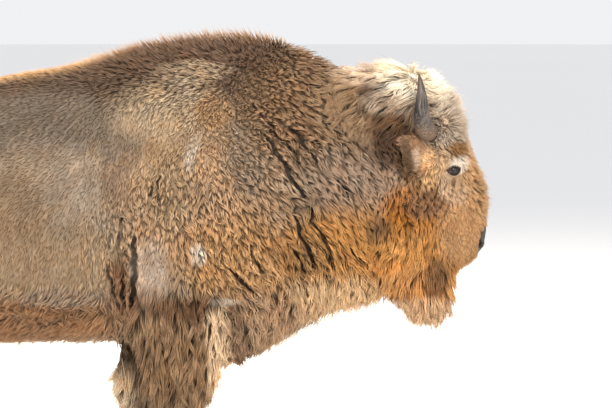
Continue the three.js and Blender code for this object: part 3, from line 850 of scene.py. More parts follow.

# %% [markdown]
# ## Where the tufts grow
#
# Roots are scattered over the skin's triangles. Walking along the running total of their areas in even
# steps, each shifted a little, spreads them more evenly than free dice would. Each zone sets its own
# spacing.

# %% The lie of the coat
# Each zone's row: the way the hair lies (forward, outward, up), then length, width and spacing in
# millimetres, lift at the root in degrees, curl in millimetres, how far the tips gather into locks, how much
# they hang, how much darker the roots are than the tips as painted shade deep in the coat, and how far the
# tips stray and stand off the solids, in millimetres.
LENGTH, WIDTH, SPACING, LIFT, CURL, GATHER, HANG, SHADE, STRAY, PUFF = range(10)
BARREL = ((-0.75, 0.0, -0.65), 34, 3.4, 6.9, 22, 0.6, 0.35, 0.0, 0.28, 2, 1)
COAT = [
    ("low_barrel", (-0.20, 0.0, -1.0), 36, 3.6, 7.1, 22, 1.0, 0.45, 0.0, 0.32, 2, 1),
    ("rump", (-0.55, 0.0, -0.85), 34, 4.2, 9.0, 22, 0.5, 0.30, 0.0, 0.30, 2, 1),
    ("shoulder", (-0.06, 0.0, -1.0), 36, 3.1, 5.8, 22, 1.2, 0.45, 0.0, 0.24, 2, 1),
    ("hump", (-0.60, 0.1, -0.45), 40, 3.0, 5.6, 48, 2.0, 0.45, 0.0, 0.42, 4, 14),
    ("back", (-0.80, 0.2, -0.10), 42, 2.6, 5.2, 45, 1.5, 0.20, 0.0, 0.36, 3, -1),
    ("ridge", (-0.80, 0.2, -0.10), 46, 2.6, 5.0, 70, 1.5, 0.20, 0.0, 0.40, 6, 15),
    ("low_shoulder", (0.22, 0.0, -1.0), 42, 3.6, 5.6, 40, 3.4, 0.85, 0.0, 0.55, 4, 1),
    ("smooth_patch", (-0.15, 0.0, -1.0), 26, 2.8, 4.2, 20, 0.4, 0.30, 0.0, 0.20, 2, 0),
    ("fore_neck", (0.35, 0.0, -0.85), 26, 3.0, 4.7, 70, 4.0, 0.80, 0.0, 0.52, 2, 3),
    ("neck", (0.55, 0.0, -0.83), 50, 3.6, 5.8, 30, 3.0, 0.70, 0.0, 0.58, 4, 1),
    ("brisket", (0.45, 0.0, -0.85), 75, 4.2, 7.0, 40, 4.5, 0.80, 0.10, 0.72, 9, -11),
    ("throat", (0.15, 0.0, -1.0), 95, 4.2, 6.8, 36, 4.5, 0.82, 0.25, 0.78, 8, 0),
    ("throat_fringe", (0.05, 0.0, -1.0), 125, 3.8, 6.6, 44, 3.5, 0.85, 0.40, 0.65, 15, -12),
    ("belly_curls", (-0.75, 0.0, -0.45), 42, 3.8, 6.6, 42, 3.5, 0.75, 0.05, 0.50, 4, 1),
    ("belly_fringe", (-0.30, 0.0, -1.0), 44, 3.8, 7.4, 46, 2.5, 0.55, 0.35, 0.45, 9, -9),
    ("pantaloon", (-0.06, 0.0, -1.0), 130, 4.4, 7.2, 15, 2.6, 0.92, 0.10, 0.85, 8, 1),
    ("elbow_hair", (-0.60, 0.0, -1.0), 95, 4.2, 7.2, 34, 3.0, 0.85, 0.40, 0.70, 12, 1),
    ("head", (-0.15, 0.0, -1.0), 36, 3.0, 4.8, 38, 2.4, 0.60, 0.0, 0.42, 3, 1),
    ("cheek", (-0.25, 0.0, -1.0), 44, 3.4, 5.0, 44, 4.0, 0.82, 0.0, 0.70, 4, 1),
    ("jaw", (-0.02, 0.0, -1.0), 82, 4.0, 6.0, 30, 3.0, 0.65, 0.20, 0.55, 6, 1),
    ("beard", (0.10, 0.0, -1.0), 110, 3.8, 5.8, 22, 2.4, 0.75, 0.30, 0.62, 10, -3),
    ("face", (0.10, 0.0, -1.0), 26, 2.6, 3.9, 46, 1.6, 0.60, 0.0, 0.42, 3, 2),
    ("low_bridge", (0.80, 0.0, -0.45), 46, 2.8, 4.1, 66, 2.4, 0.85, 0.0, 0.70, 6, 1),
    ("forehead", (0.55, 0.05, 0.40), 64, 2.4, 4.1, 80, 1.8, 0.35, 0.0, 0.36, 10, 22),
    ("crown", (-0.75, 0.25, -0.70), 120, 3.2, 5.3, 30, 3.5, 0.75, 0.10, 0.42, 10, 11),
    ("forelock", (0.70, 0.1, 0.3), 62, 2.7, 4.4, 66, 1.8, 0.45, 0.0, 0.36, 9, 18),
    ("horn_ring", (0.10, 1.0, 0.0), 42, 3.2, 4.2, 80, 2.0, 0.30, 0.0, 0.50, 4, 1),
    ("brow", (0.5, 0.3, -0.6), 24, 2.8, 4.1, 48, 1.5, 0.45, 0.0, 0.45, 3, 1),
    ("muzzle", (0.12, 0.1, -1.0), 18, 2.2, 3.1, 34, 0.4, 0.45, 0.0, 0.42, 1, 1),
    ("eye_ring", (-0.3, 0.0, -1.0), 11, 1.8, 2.8, 28, 0.2, 0.20, 0.0, 0.25, 1, 1),
    ("shin", (-0.05, 0.0, -1.0), 24, 3.8, 6.6, 18, 0.4, 0.30, 0.0, 0.30, 1, 1),
    ("fetlock", (-0.05, 0.0, -1.0), 22, 3.6, 5.2, 24, 0.4, 0.30, 0.0, 0.30, 1, 9),
    ("tail", (0.0, 0.0, -1.0), 60, 4.5, 7.5, 14, 1.5, 0.50, 0.30, 0.40, 2, 1),
    ("tail_switch", (0.0, 0.0, -1.0), 120, 5.5, 6.5, 14, 4.0, 0.60, 0.40, 0.60, 10, 1),
]
ZONES.update({
    "low_barrel": lambda x, y, z: smooth(z, 74, 58) * smooth(x, -4, -10),
    "rump": lambda x, y, z: smooth(x, -55, -75),
    "back": lambda x, y, z: smooth(y, 6.5, 2.5) * smooth(z, 74, 82) * smooth(x, 34, 28),
    "ridge": lambda x, y, z: ZONES["back"](x, y, z) * smooth(z, 84, 90) * smooth(x, -24, -12),
    "low_shoulder": oval((6, 62), (18, 12), 8),
    "smooth_patch": oval((-5.0, 56.0), (3.2, 4.4), 0, 0.8),
    "fore_neck": oval((22.5, 85.5), (13, 11), 30),
    "brisket": oval((11, 45), (12, 7), 20),
    "throat_fringe": oval((32, 45), (13, 5), 14),
    "belly_curls": lambda x, y, z: smooth(z, 55, 50) * smooth(x, -12, -18),
    "belly_fringe": lambda x, y, z: smooth(z, 46, 42) * smooth(x, -8, -13) * smooth(z, 34, 38),
    "elbow_hair": oval((-12.5, 30), (4, 6)),
    "jaw": oval((45.5, 54.5), (8, 7)),
    "forelock": oval((46.4, 91.0), (2.6, 2.8)),
    "low_bridge": lambda x, y, z: ZONES["bridge"](x, y, z) * smooth(z, 80, 76),
    "brow": oval((52.0, 78.0), (3.6, 4.2)),
    "tail_switch": lambda x, y, z: smooth(x, -110, -112.5) * smooth(z, 55, 45) * smooth(y, 6, 4),
})


ROUND_ZONES = {  # what they surround, and the metres at which each mask ends and is full
    "eye_ring": (eye_place.values(), 0.042, 0.028),
    "fetlock": (dewclaws, 0.050, 0.030),
    "horn_ring": (horn_foot.values(), 0.062, 0.050),
}
EAR_HAIR = (32, 2.4, 3.5, 28, 1.2, 0.50, 0.10, 0.45, 3, 2)


def zone_mask(name, points, x, y, z):
    return near_any(points, *ROUND_ZONES[name]) if name in ROUND_ZONES else ZONES[name](x, y, z)


def coat_at(points):
    """The lie of the hair and its ten numbers at each place, with the zones blended like layers of paint."""
    x, y, z = body(points)
    lie = np.tile(np.array(BARREL[0]), (len(points), 1))
    numbers = np.tile(np.array(BARREL[1:], float), (len(points), 1))
    for name, row_lie, *row_numbers in COAT:
        mask = zone_mask(name, points, x, y, z)[:, None]
        lie += mask * (np.array(row_lie) - lie)
        numbers += mask * (np.array(row_numbers) - numbers)
    side = np.where(points[:, 1:2] < 0, -1.0, 1.0)
    lie = lie * np.concatenate([np.ones_like(side), side, np.ones_like(side)], axis=1)
    ears = on_ear(points)[:, None]
    axes = {key: np.array(ear_axis(key)[1]) - np.array(ear_axis(key)[0]) for key in SIDES}
    ear_lie = np.where(side < 0, axes["right"], axes["left"])
    lie += ears * (ear_lie / np.linalg.norm(ear_lie, axis=1, keepdims=True) - lie)
    numbers += ears * (np.array(EAR_HAIR) - numbers)
    return lie, numbers


print(len(COAT), "kinds of hair")

# %% Scatter the roots
SEED = 11
rng = np.random.default_rng(SEED)

mesh = skin.data
mesh.calc_loop_triangles()
corners = column(mesh.loop_triangles, "vertices", 3, int)
loops = column(mesh.loop_triangles, "loops", 3, int)
skin_map = column(mesh.uv_layers[BAKE_MAP].data, "uv", 2)
places, normals = read(mesh, "co"), read(mesh, "normal")

a, b, c = (places[corners[:, i]] for i in range(3))
area = np.linalg.norm(np.cross(b - a, c - a), axis=1) / 2
wanted = area * 1e6 / coat_at((a + b + c) / 3)[1][:, SPACING] ** 2
total = np.cumsum(wanted)
steps = (np.arange(int(total[-1])) + rng.random(int(total[-1]))) / int(total[-1]) * total[-1]
chosen = np.minimum(np.searchsorted(total, steps), len(total) - 1)
r1, r2 = np.sqrt(rng.random(len(chosen))), rng.random(len(chosen))
shares = np.stack([1 - r1, r1 * (1 - r2), r1 * r2], axis=1)


def spread(values, index):
    """A value between a triangle's three corners, at each root."""
    return np.einsum("ni,ni...->n...", shares, values[index[chosen]])


MOST_BARE = 0.25
CREASE_BED = 0.9
bare = np.maximum(column(mesh.attributes["rim"].data, "value"), ZONES["nose"](*body(places)))
keep = (spread(bare, corners) < MOST_BARE) & (crease_at(spread(places, corners))[0] > CREASE_BED)
chosen, shares = chosen[keep], shares[keep]
roots = spread(places, corners)
growth = unit(spread(normals, corners))
root_map = spread(skin_map, loops)
root_gap, _, root_off, run, root_crease = crease_at(roots)
near_crease = bell(root_gap, 0, 3.5)
lie, numbers = coat_at(roots)
lie += near_crease[:, None] * (run - lie)
# The zone's root shade, kept on the skin too, for its painted shade.
store(mesh, "shade", coat_at(places)[1][:, SHADE])
print(len(roots), "tufts over", round(area.sum(), 2), "square metres")

# %% [markdown]
# ## Bend the tufts
#
# A tuft leaves the skin at its lift angle and lies over towards its tip. Curl swings it from side to side,
# its own weight pulls it down, and then the tips are gathered: each tuft follows the nearest of a sparse
# set of leaders, the more so the nearer the tip. Gathering is what turns loose hairs into wool and locks.
# Last, each tip is moved to the surface that the solids gave, or as far off it as its zone says, and combed
# out of the creases.

# %% Leaders of the locks
LEAST_LOCK, LOCK_SHARE = 0.009, 0.11  # a lock is this wide, and wider by this share of its hair's length

count = len(roots)
length = numbers[:, LENGTH] / 1000 * rng.uniform(0.75, 1.2, count) * (1 - 0.3 * near_crease)
lift = np.radians(numbers[:, LIFT] * rng.uniform(0.8, 1.2, count))
curl = numbers[:, CURL] / 1000
gather = numbers[:, GATHER]
lock_size = LEAST_LOCK + LOCK_SHARE * numbers[:, LENGTH] / 1000
leads = np.flatnonzero(rng.random(count) < (numbers[:, SPACING] / 1000 / lock_size) ** 2)

tree = kdtree.KDTree(len(leads))
for i, at in enumerate(roots[leads]):
    tree.insert(at, i)
tree.balance()
found = [tree.find(at) for at in roots]
leader = leads[np.array([f[1] for f in found])]
# How far each tuft lies between locks; its tone is lowered by this below, as painted shade.
between = smooth(np.array([f[2] for f in found]) / lock_size, 0.35, 0.80) * gather
print(len(leads), "leaders")

# %% Curves
SUNK = 0.04  # share of the length
WAVE, LEAST_WAVE = 0.55, 0.024  # share of the length, and metres
DROOP = 0.6

stray = 0.12 + 0.035 * numbers[:, CURL]
turn = rng.normal(0, 1, count)[leader] * stray + rng.normal(0, 0.6, count) * stray
phase = rng.uniform(0, 2 * math.pi, count)[leader] + rng.normal(0, 0.5, count)
standing = np.clip((numbers[:, LIFT] - 45) / 30, 0, 1)
along_skin = unit(lie - growth * np.sum(lie * growth, axis=1, keepdims=True))
across = np.cross(growth, along_skin)
along_skin = along_skin * np.cos(turn)[:, None] + across * np.sin(turn)[:, None]
across = np.cross(growth, along_skin)
length = length * rng.uniform(0.85, 1.15, count)[leader]
gathers_late = 1.3 - 0.5 * smooth(numbers[:, LENGTH], 60, 110)


def free_curve(t):
    """Where every tuft would be at a share t of its length, if nothing stopped it."""
    reach = length * t
    rise = length * (t - (0.5 - 0.35 * standing) * t * t) * np.sin(lift) - SUNK * length
    angle = 2 * math.pi * reach / np.maximum(LEAST_WAVE, WAVE * length) + phase
    swing = curl * np.sin(angle) * min(1, 2.5 * t)
    swing_up = 0.5 * curl * np.cos(angle) * min(1, 2.5 * t)
    at = roots + along_skin * (reach * (0.25 + 0.75 * np.cos(lift)))[:, None]
    at = at + growth * (rise + swing_up)[:, None] + across * swing[:, None]
    at[:, 2] -= numbers[:, HANG] * length * t * t * DROOP
    pull = (gather * t**gathers_late)[:, None]
    return at + pull * (at[leader] - at)


TIP_ABOVE = 0.001  # metres
MOST_RAISED = 0.55  # share of the length
PRESSED_ONLY = 13  # shorter hair, in millimetres, is pressed down but never raised
tips = free_curve(1.0)
surface, straight_out = nearest(shell_tree, tips)
height = np.sum((tips - surface) * straight_out, axis=1)
loose = rng.exponential(1, count) - 1
stray_out = 0.5 * rng.normal(0, 1, count)[leader] + 0.8 * loose
wanted_height = TIP_ABOVE + (numbers[:, PUFF] + stray_out * numbers[:, STRAY]) / 1000
shift = np.minimum(wanted_height - height, MOST_RAISED * length)
shift = np.where(numbers[:, LENGTH] < PRESSED_ONLY, np.minimum(shift, 0), shift)
shift *= 1 - near_any(roots, horn_foot.values(), 0.060, 0.045)
shift = straight_out * shift[:, None]
BANK_RISE = 0.006  # metres by which the hair beside a crease stands higher
# Painted highlight: hair on a crease's banks is made lighter by this share.
BANK_HIGHLIGHT = 0.36  # how much lighter it is
PARTED = 1.15  # half widths of a crease


def hair_curve(t):
    """Where every tuft has got to at a share t of its length, and the painted shade of a crease there, less a
    painted highlight on its banks.
    """
    at = free_curve(t) + shift * t**1.2
    gap, half, off, _, crease = crease_at(at)
    same_bank = np.where(crease == root_crease, np.sign(np.sum(off * root_off, axis=1) + 1e-9), 1)
    signed = gap * same_bank
    comb = np.where(signed > -4, np.clip(PARTED - signed, 0, None), 0) * half * min(1, 3 * t)
    at = at + off * (same_bank * comb)[:, None]
    bank = bell(gap, 2.1, 0.9) * smooth(half, 0.0015, 0.004)
    at = at + straight_out * (BANK_RISE * bank * min(1, 2.5 * t))[:, None]
    return at, 0.8 * smooth(gap, 1.5, 0.8) - BANK_HIGHLIGHT * bank


print("tips were moved by", round(float(np.abs(shift).mean()) * 1000, 1), "mm on average")

# %% [markdown]
# ## Give the curves a body
#
# A tuft is a thin closed blade with three sides, pointed at the tip. A long or curly one has more sections.
# All tufts of a kind have the same faces, so one pattern of faces is repeated by array arithmetic, which
# makes a hundred thousand of them in a second: an operator for each would take hours. Each one's bake space
# is a patch a few thousandths wide at its root's place on the skin's unwrap.

# %% Blades
STATIONS = {1: (0, 1), 2: (0, 0.42, 1), 3: (0, 0.3, 0.65, 1), 4: (0, 0.22, 0.48, 0.75, 1)}
GIRTH = {1: (1.0,), 2: (0.75, 1.0), 3: (0.7, 1.0, 0.75), 4: (0.65, 0.95, 1.0, 0.65)}
THINNER_WISPS = 0.25  # how much thinner a tuft is that stands off from the rest
THICKNESS = 0.55  # share of the width
PATCH = 0.003


def blade_pattern(sections):
    """The faces of one tuft, as corner lists, and each corner's place in its patch."""
    faces, patch = [(2, 1, 0)], [(0, 0), (0.3, 0), (0.6, 0)]
    stations = STATIONS[sections]
    tip = 3 * sections
    for ring in range(sections):
        low, high = stations[ring], stations[ring + 1]
        for j in range(3):
            k = (j + 1) % 3
            left, right = j / 3, (j + 1) / 3
            if ring == sections - 1:
                faces.append((3 * ring + j, 3 * ring + k, tip))
                patch += [(left, low), (right, low), ((left + right) / 2, high)]
            else:
                faces.append((3 * ring + j, 3 * ring + k, 3 * ring + 3 + k, 3 * ring + 3 + j))
                patch += [(left, low), (right, low), (right, high), (left, high)]
    return faces, np.array(patch)


def blades(name, chosen, sections):
    """One mesh of all the chosen tufts."""
    stations, girths = STATIONS[sections], GIRTH[sections]
    curve = np.stack([curves[t][0][chosen] for t in stations], axis=1)
    crease_shade = np.stack([curves[t][1][chosen] for t in stations], axis=1)
    heading = unit(np.gradient(curve, axis=1))
    sideways = unit(np.cross(growth[chosen][:, None, :], heading))
    upwards = np.cross(heading, sideways)
    half = numbers[chosen, WIDTH] / 2000 * rng.uniform(0.8, 1.25, len(chosen))
    half = half / (1 + THINNER_WISPS * np.clip(loose[chosen], 0, 3))
    rings = []
    for i in range(sections):
        radius = (half * girths[i])[:, None]
        for angle in (90, 210, 330):
            c, s = math.cos(math.radians(angle)), math.sin(math.radians(angle))
            rings.append(curve[:, i] - sideways[:, i] * radius * c + upwards[:, i] * radius * s * THICKNESS)
    rings.append(curve[:, -1])
    per_tuft = 3 * sections + 1
    points = np.stack(rings, axis=1).reshape(-1, 3)
    faces, patch = blade_pattern(sections)
    start = np.arange(len(chosen))[:, None] * per_tuft
    corner_list = (np.concatenate([np.array(f) for f in faces])[None, :] + start).ravel()
    sizes = np.tile([len(f) for f in faces], len(chosen))
    made = bpy.data.meshes.new(name)
    made.vertices.add(len(points))
    made.vertices.foreach_set("co", points.astype(np.float32).ravel())
    made.loops.add(len(corner_list))
    made.loops.foreach_set("vertex_index", corner_list.astype(np.int32))
    made.polygons.add(len(sizes))
    made.polygons.foreach_set("loop_start", (np.cumsum(sizes) - sizes).astype(np.int32))
    made.polygons.foreach_set("use_smooth", np.ones(len(sizes), bool))
    layer = made.uv_layers.new(name=BAKE_MAP)
    spots = (np.minimum(root_map[chosen], 1 - PATCH)[:, None, :] + patch[None, :, :] * PATCH).reshape(-1, 2)
    layer.data.foreach_set("uv", spots.astype(np.float32).ravel())
    made.update(calc_edges=True)
    spans = np.concatenate([np.repeat(stations[:-1], 3), stations[-1:]])
    # Painted shade in creases, less the painted highlight on their banks, for every corner.
    crease_shade_corners = np.concatenate([np.repeat(crease_shade[:, :-1], 3, axis=1), crease_shade[:, -1:]], axis=1)
    store(made, "along", np.tile(spans, len(chosen)))
    store(made, "tone", np.repeat(tone[chosen], per_tuft))
    store(made, "crease", crease_shade_corners.ravel())
    store(made, "shade", np.repeat(numbers[chosen, SHADE], per_tuft))
    store(made, "ear", np.repeat(ears[chosen], per_tuft))
    return made


print("a tuft has", " or ".join(str(6 * k - 2) for k in STATIONS), "triangles")

# %% Plant the coat
curves = {t: hair_curve(t) for t in sorted({t for stations in STATIONS.values() for t in stations})}
# The tone is random per tuft and per lock, and lowered between the locks as painted shade.
tone = 0.45 * rng.random(count) + 0.55 * rng.random(count)[leader] - 0.5 * between
ears = on_ear(roots)
sections = 1 + (numbers[:, CURL] > 1.2) + (numbers[:, LENGTH] > 58) + (numbers[:, LENGTH] > 88)
x, y, z = body(roots)
left_over = np.ones(count, bool)
PARTS = [  # each takes the tufts that the ones before it left
    ("head_hair", x > 36), ("neck_hair", x > 17), ("legs_hair", z < 36), ("shoulder_hair", x > 0),
    ("withers_hair", x > -14), ("barrel_hair", x > -55), ("rump_hair", x <= -55),
]
coat_pieces = []
triangles = 0
for part_name, inside in PARTS:
    for side, sign in SIDES.items():
        mine = left_over & inside & (np.sign(roots[:, 1] + 1e-9) == sign)
        joined = bmesh.new()
        for k in STATIONS:
            some = np.flatnonzero(mine & (sections == k))
            if len(some):
                scrap = blades("scrap", some, k)
                joined.from_mesh(scrap)
                bpy.data.meshes.remove(scrap)
        left_over &= ~mine
        piece = from_bmesh(f"{part_name}_{side}", joined)
        faces = int((6 * sections[mine] - 2).sum())
        triangles += faces
        print(piece.name, "has", faces, "triangles")
        coat_pieces.append(piece)
print("the coat has", triangles, "triangles")

# %% [markdown]
# ## Markings
#
# A pale winter coat: grey-tan on the barrel, orange on the cheeks and throat, cream on the crown, and a
# painted rim light, golden, along the back. The markings are soft ellipses, seen from the side and laid over
# one another, so skin and coat can share them; a few are painted shade or painted backlight. Painting each
# tuft by hand isn't possible, and an image would tie the colours to one view. A tuft is darker at its root,
# as painted shade, and each differs a little from its neighbours.

# %% Paint the markings
BASE_COLOUR = (0.33, 0.235, 0.155)
MARKINGS = {  # centre X and Z, radii, and colour
    "barrel_upper": ((-24.6, 81.7), (19.5, 5.9), (0.25, 0.195, 0.145)),
    "barrel_mid": ((-24.3, 68.9), (18.4, 8.3), (0.38, 0.29, 0.205)),
    "barrel_low": ((-24.3, 56.0), (17.5, 5.9), (0.42, 0.30, 0.19)),
    "barrel_brown": ((-30.5, 66.7), (6.0, 6.5), (0.34, 0.235, 0.145)),
    "barrel_grey": ((-19.7, 71.5), (6.0, 5.5), (0.41, 0.32, 0.235)),
    "flank_dark": ((-12.0, 74.5), (2.2, 8.0), (0.28, 0.205, 0.145)),
    "belly": ((-30.0, 45.6), (20.3, 4.3), (0.36, 0.20, 0.10)),
    "belly_dark": ((-22.6, 50.7), (7.4, 1.7), (0.375, 0.275, 0.195)),
    "hump": ((8.0, 97.0), (26.0, 6.5), (0.20, 0.125, 0.082)),
    "swirl": ((2.1, 91.9), (6.3, 1.9), (0.49, 0.37, 0.25)),
    "shoulder_upper": ((-2.3, 84.4), (9.4, 5.2), (0.53, 0.41, 0.28)),
    "shoulder_mid": ((3.3, 67.9), (12.9, 11.4), (0.53, 0.35, 0.21)),
    "shoulder_grey": ((13.0, 76.5), (5.0, 6.0), (0.36, 0.265, 0.185)),
    "shoulder_tan": ((-2.4, 71.5), (4.5, 7.0), (0.47, 0.33, 0.20)),
    "shoulder_amber": ((5.4, 85.0), (3.4, 3.0), (0.46, 0.29, 0.155)),
    "fore_shoulder": ((20.7, 85.3), (8.9, 8.9), (0.33, 0.205, 0.115)),
    "low_shoulder": ((10.6, 56.8), (8.3, 7.7), (0.55, 0.325, 0.15)),
    "neck_upper": ((30.0, 86.1), (5.6, 5.6), (0.37, 0.245, 0.145)),
    "neck_lilac": ((32.0, 71.0), (7.4, 5.6), (0.37, 0.265, 0.19)),
    "throat": ((30.9, 59.2), (11.5, 6.7), (0.54, 0.275, 0.088)),
    "throat_brown": ((22.8, 57.6), (3.8, 4.2), (0.36, 0.20, 0.08)),
    "throat_tips": ((30.0, 48.6), (11.2, 4.5), (0.67, 0.46, 0.26)),
    "brisket": ((13.3, 45.4), (7.4, 5.9), (0.46, 0.30, 0.18)),
    # Painted shade in the groove behind the elbow.
    "elbow": ((-10.2, 52.6), (2.7, 5.3), (0.23, 0.125, 0.065)),
    "pantaloon": ((0.4, 38.2), (11.1, 9.2), (0.295, 0.185, 0.10)),
    "pantaloon_top": ((1.8, 48.6), (7.8, 2.4), (0.175, 0.095, 0.048)),
    "pantaloon_front": ((6.6, 40.8), (2.2, 8.3), (0.78, 0.57, 0.37)),
    "brisket_dark": ((10.4, 42.6), (2.0, 4.2), (0.27, 0.17, 0.10)),
    # Painted backlight: the far leg's hair is made pale gold, as if lit through from behind.
    "far_hair": ((-14.2, 30.4), (3.6, 6.2), (0.76, 0.61, 0.44)),
    "cheek": ((43.4, 64.6), (5.6, 6.0), (0.50, 0.195, 0.026)),
    "cheek_dark": ((43.0, 65.8), (2.6, 1.9), (0.38, 0.14, 0.013)),
    "neck_swirl": ((35.8, 62.8), (2.4, 2.2), (0.22, 0.12, 0.055)),
    "cheek_brown": ((45.5, 67.7), (4.5, 3.2), (0.29, 0.155, 0.077)),
    "jaw": ((43.7, 56.6), (8.6, 6.4), (0.57, 0.285, 0.085)),
    "beard": ((45.5, 50.8), (7.5, 4.2), (0.57, 0.285, 0.10)),
    "beard_lilac": ((47.8, 52.6), (2.0, 3.6), (0.205, 0.105, 0.044)),
    "beard_tips": ((45.0, 46.0), (8.3, 2.6), (0.59, 0.395, 0.235)),
    "forehead": ((51.0, 84.6), (6.0, 8.6), (0.50, 0.41, 0.32)),
    "nape_shadow": ((34.3, 87.3), (1.8, 3.2), (0.15, 0.09, 0.055)),
    "crown_back": ((33.4, 92.4), (5.4, 2.2), (0.66, 0.51, 0.37)),
    "crown_side": ((38.2, 86.6), (4.4, 2.2), (0.57, 0.45, 0.34)),
    "crown": ((43.6, 91.0), (7.0, 3.4), (1.0, 0.91, 0.75)),
    # Painted shadow under the crown's locks.
    "crown_dark": ((37.5, 82.1), (3.7, 2.4), (0.165, 0.092, 0.047)),
    # Painted shade behind the ear.
    "shade_behind_ear": ((37.2, 78.4), (2.6, 3.4), (0.10, 0.06, 0.038)),
    "face_front": ((54.8, 68.6), (3.8, 8.2), (0.57, 0.35, 0.18)),
    "face_middle": ((51.5, 65.2), (3.2, 2.8), (0.62, 0.36, 0.18)),
    "muzzle": ((52.1, 61.4), (4.1, 4.9), (0.63, 0.375, 0.185)),
    "temple": ((48.0, 74.6), (1.5, 3.2), (0.62, 0.43, 0.26)),
    "ear_base": ((45.6, 73.0), (1.5, 2.6), (0.80, 0.52, 0.27)),
    # Painted shade under the ear, over dark orange-brown hair.
    "ear_under": ((41.8, 73.8), (1.6, 1.5), (0.34, 0.165, 0.06)),
    "below_eye": ((50.3, 69.9), (2.2, 2.0), (0.62, 0.43, 0.28)),
    "brow": ((51.3, 77.7), (1.9, 1.3), (0.33, 0.175, 0.07)),
    "ear_shadow": ((41.2, 77.4), (2.4, 4.4), (0.11, 0.06, 0.03)),
    "eye_ring": ((51.7, 74.8), (1.6, 1.4), (0.86, 0.77, 0.66)),
    "tear": ((50.5, 71.4), (0.3, 0.9), (0.28, 0.15, 0.08)),
    "pale_1": ((1.8, 77.0), (1.0, 3.2), (0.62, 0.50, 0.38)),
    "pale_2": ((3.2, 58.5), (1.3, 1.8), (0.68, 0.57, 0.46)),
    "pale_3": ((-5.9, 56.3), (3.1, 4.6), (0.59, 0.46, 0.355)),
    "pale_4": ((7.8, 49.8), (2.6, 0.7), (0.52, 0.42, 0.32)),
}
SHIN_COLOUR = (0.24, 0.15, 0.085)
BACK_DARK = (0.18, 0.12, 0.08)
# Painted rim light: the golden tips along the back and over the hump, as if lit from behind.
BACK_RIM_LIGHT = (0.68, 0.42, 0.20)
HUMP_RIM_LIGHT = (0.36, 0.20, 0.09)
EAR_COLOUR = (0.37, 0.225, 0.135)
EAR_PATCHES = [  # centre X and Z, radii, turn and softness of an ellipse, then strength and colour
    (((43.0, 76.2), (0.9, 1.5), 0, 0.8), 0.6, (0.82, 0.64, 0.47)),
    (((46.0, 75.0), (1.4, 2.0), 0, 0.8), 0.8, (0.95, 0.62, 0.34)),
    # Painted shadow: the dark crescent in the ear's opening, behind the front hair.
    (((41.3, 76.6), (0.9, 2.6), 12, 0.7), 0.9, (0.12, 0.07, 0.04)),
]
WARM, COOL = (1.10, 0.96, 0.82), (0.98, 1.06, 1.16)
WARM_SHADE = (1.05, 0.97, 0.86)


def number(paint, name):
    return paint.node("Attribute", {"attribute_name": name}, 2)


def object_place(paint):
    """Object coordinates, in metres."""
    return paint.node("TexCoord", out=3)


def coordinate(paint, axis):
    """One of the object coordinates: 0 is X, 1 is Y and 2 is Z."""
    return paint.node("SeparateXYZ", out=axis, Vector=object_place(paint))


def noise(paint, scale, detail=3.0, stretch=(1, 1, 1)):
    """Soft noise on object coordinates, from 0 to 1, stretched along the axes."""
    settings = {"vector_type": "POINT"}
    placed = paint.node("Mapping", settings, Vector=object_place(paint), Scale=stretch)
    return paint.node("TexNoise", {}, Vector=placed, Scale=scale, Detail=detail)


def markings(paint):
    """The coat's colour at a place, some markings being painted shade or backlight, and the body coordinates
    it was worked out from.
    """
    drift = (noise(paint, 7.0) - 0.5) * 5.0
    x = (coordinate(paint, 0) - FOREFOOT) / UNIT + drift
    y = absolute(coordinate(paint, 1)) / UNIT
    z = coordinate(paint, 2) / UNIT - drift * 0.6
    colour = paint.mix(smooth(z, 34.0, 24.0), BASE_COLOUR, SHIN_COLOUR)
    colour = paint.mix(smooth(y, 12.0, 8.0) * smooth(z, 74.0, 84.0), colour, BACK_DARK)
    for centre, radii, tint in MARKINGS.values():
        colour = paint.mix(blob(x, z, centre, radii), colour, tint)
    return colour, (x, y, z)


def coat_colour(paint):
    """The markings with the ears' own colours and a painted shadow in each ear, and with blotches, streaks
    and warm and cool patches.
    """
    colour, (x, y, z) = markings(paint)
    ear = EAR_COLOUR
    for shape, strength, tint in EAR_PATCHES:
        ear = paint.mix(blob(x, z, *shape) * strength, ear, tint)
    colour = paint.mix(number(paint, "ear"), colour, ear)
    blotch = noise(paint, 9.0, 3.0)
    streak = noise(paint, 34.0, 3.0, (1.0, 1.0, 0.28))
    colour = scaled(paint, colour, 1.06 + (blotch - 0.5) * 0.55 + (streak - 0.5) * 0.6)
    patchy = noise(paint, 16.0, 4.0)
    colour = times(paint, colour, WARM, smooth(patchy, 0.50, 0.68) * 0.5)
    colour = times(paint, colour, COOL, smooth(patchy, 0.48, 0.32) * 0.5)
    return colour, (x, y, z)


def times(paint, colour, tint, factor):
    """A colour multiplied by another, as far as the factor says."""
    settings = {"data_type": "RGBA", "blend_type": "MULTIPLY"}
    return paint.node("Mix", settings, 2, Factor=factor, _6=colour, _7=rgba(tint))


def scaled(paint, colour, factor):
    """A colour made lighter or darker by a number."""
    return paint.node("VectorMath", {"operation": "SCALE"}, Vector=colour, Scale=factor)


def relief(paint, height, strength, distance):
    return paint.node("Bump", {}, Height=height, Strength=strength, Distance=distance)


print(len(MARKINGS), "markings")

# %% Finish of the hair
hair = Paint("coat_hair")
tint, (x, y, z) = coat_colour(hair)
along, tone_socket = number(hair, "along"), number(hair, "tone")
# Painted rim light: tips along the back and over the hump turn golden, as if lit from behind.
hump_top = smooth(x, -24.0, -8.0)
rim_light_band = smooth(y + hump_top * 1.6, 5.4, 1.0) * smooth(z, 78.0, 84.0) * smooth(x, 27.0, 20.0)
rim_light = hair.mix(hump_top, BACK_RIM_LIGHT, HUMP_RIM_LIGHT)
tint = hair.mix(rim_light_band * smooth(along, 0.1, 0.5), tint, rim_light)
shade = number(hair, "shade")
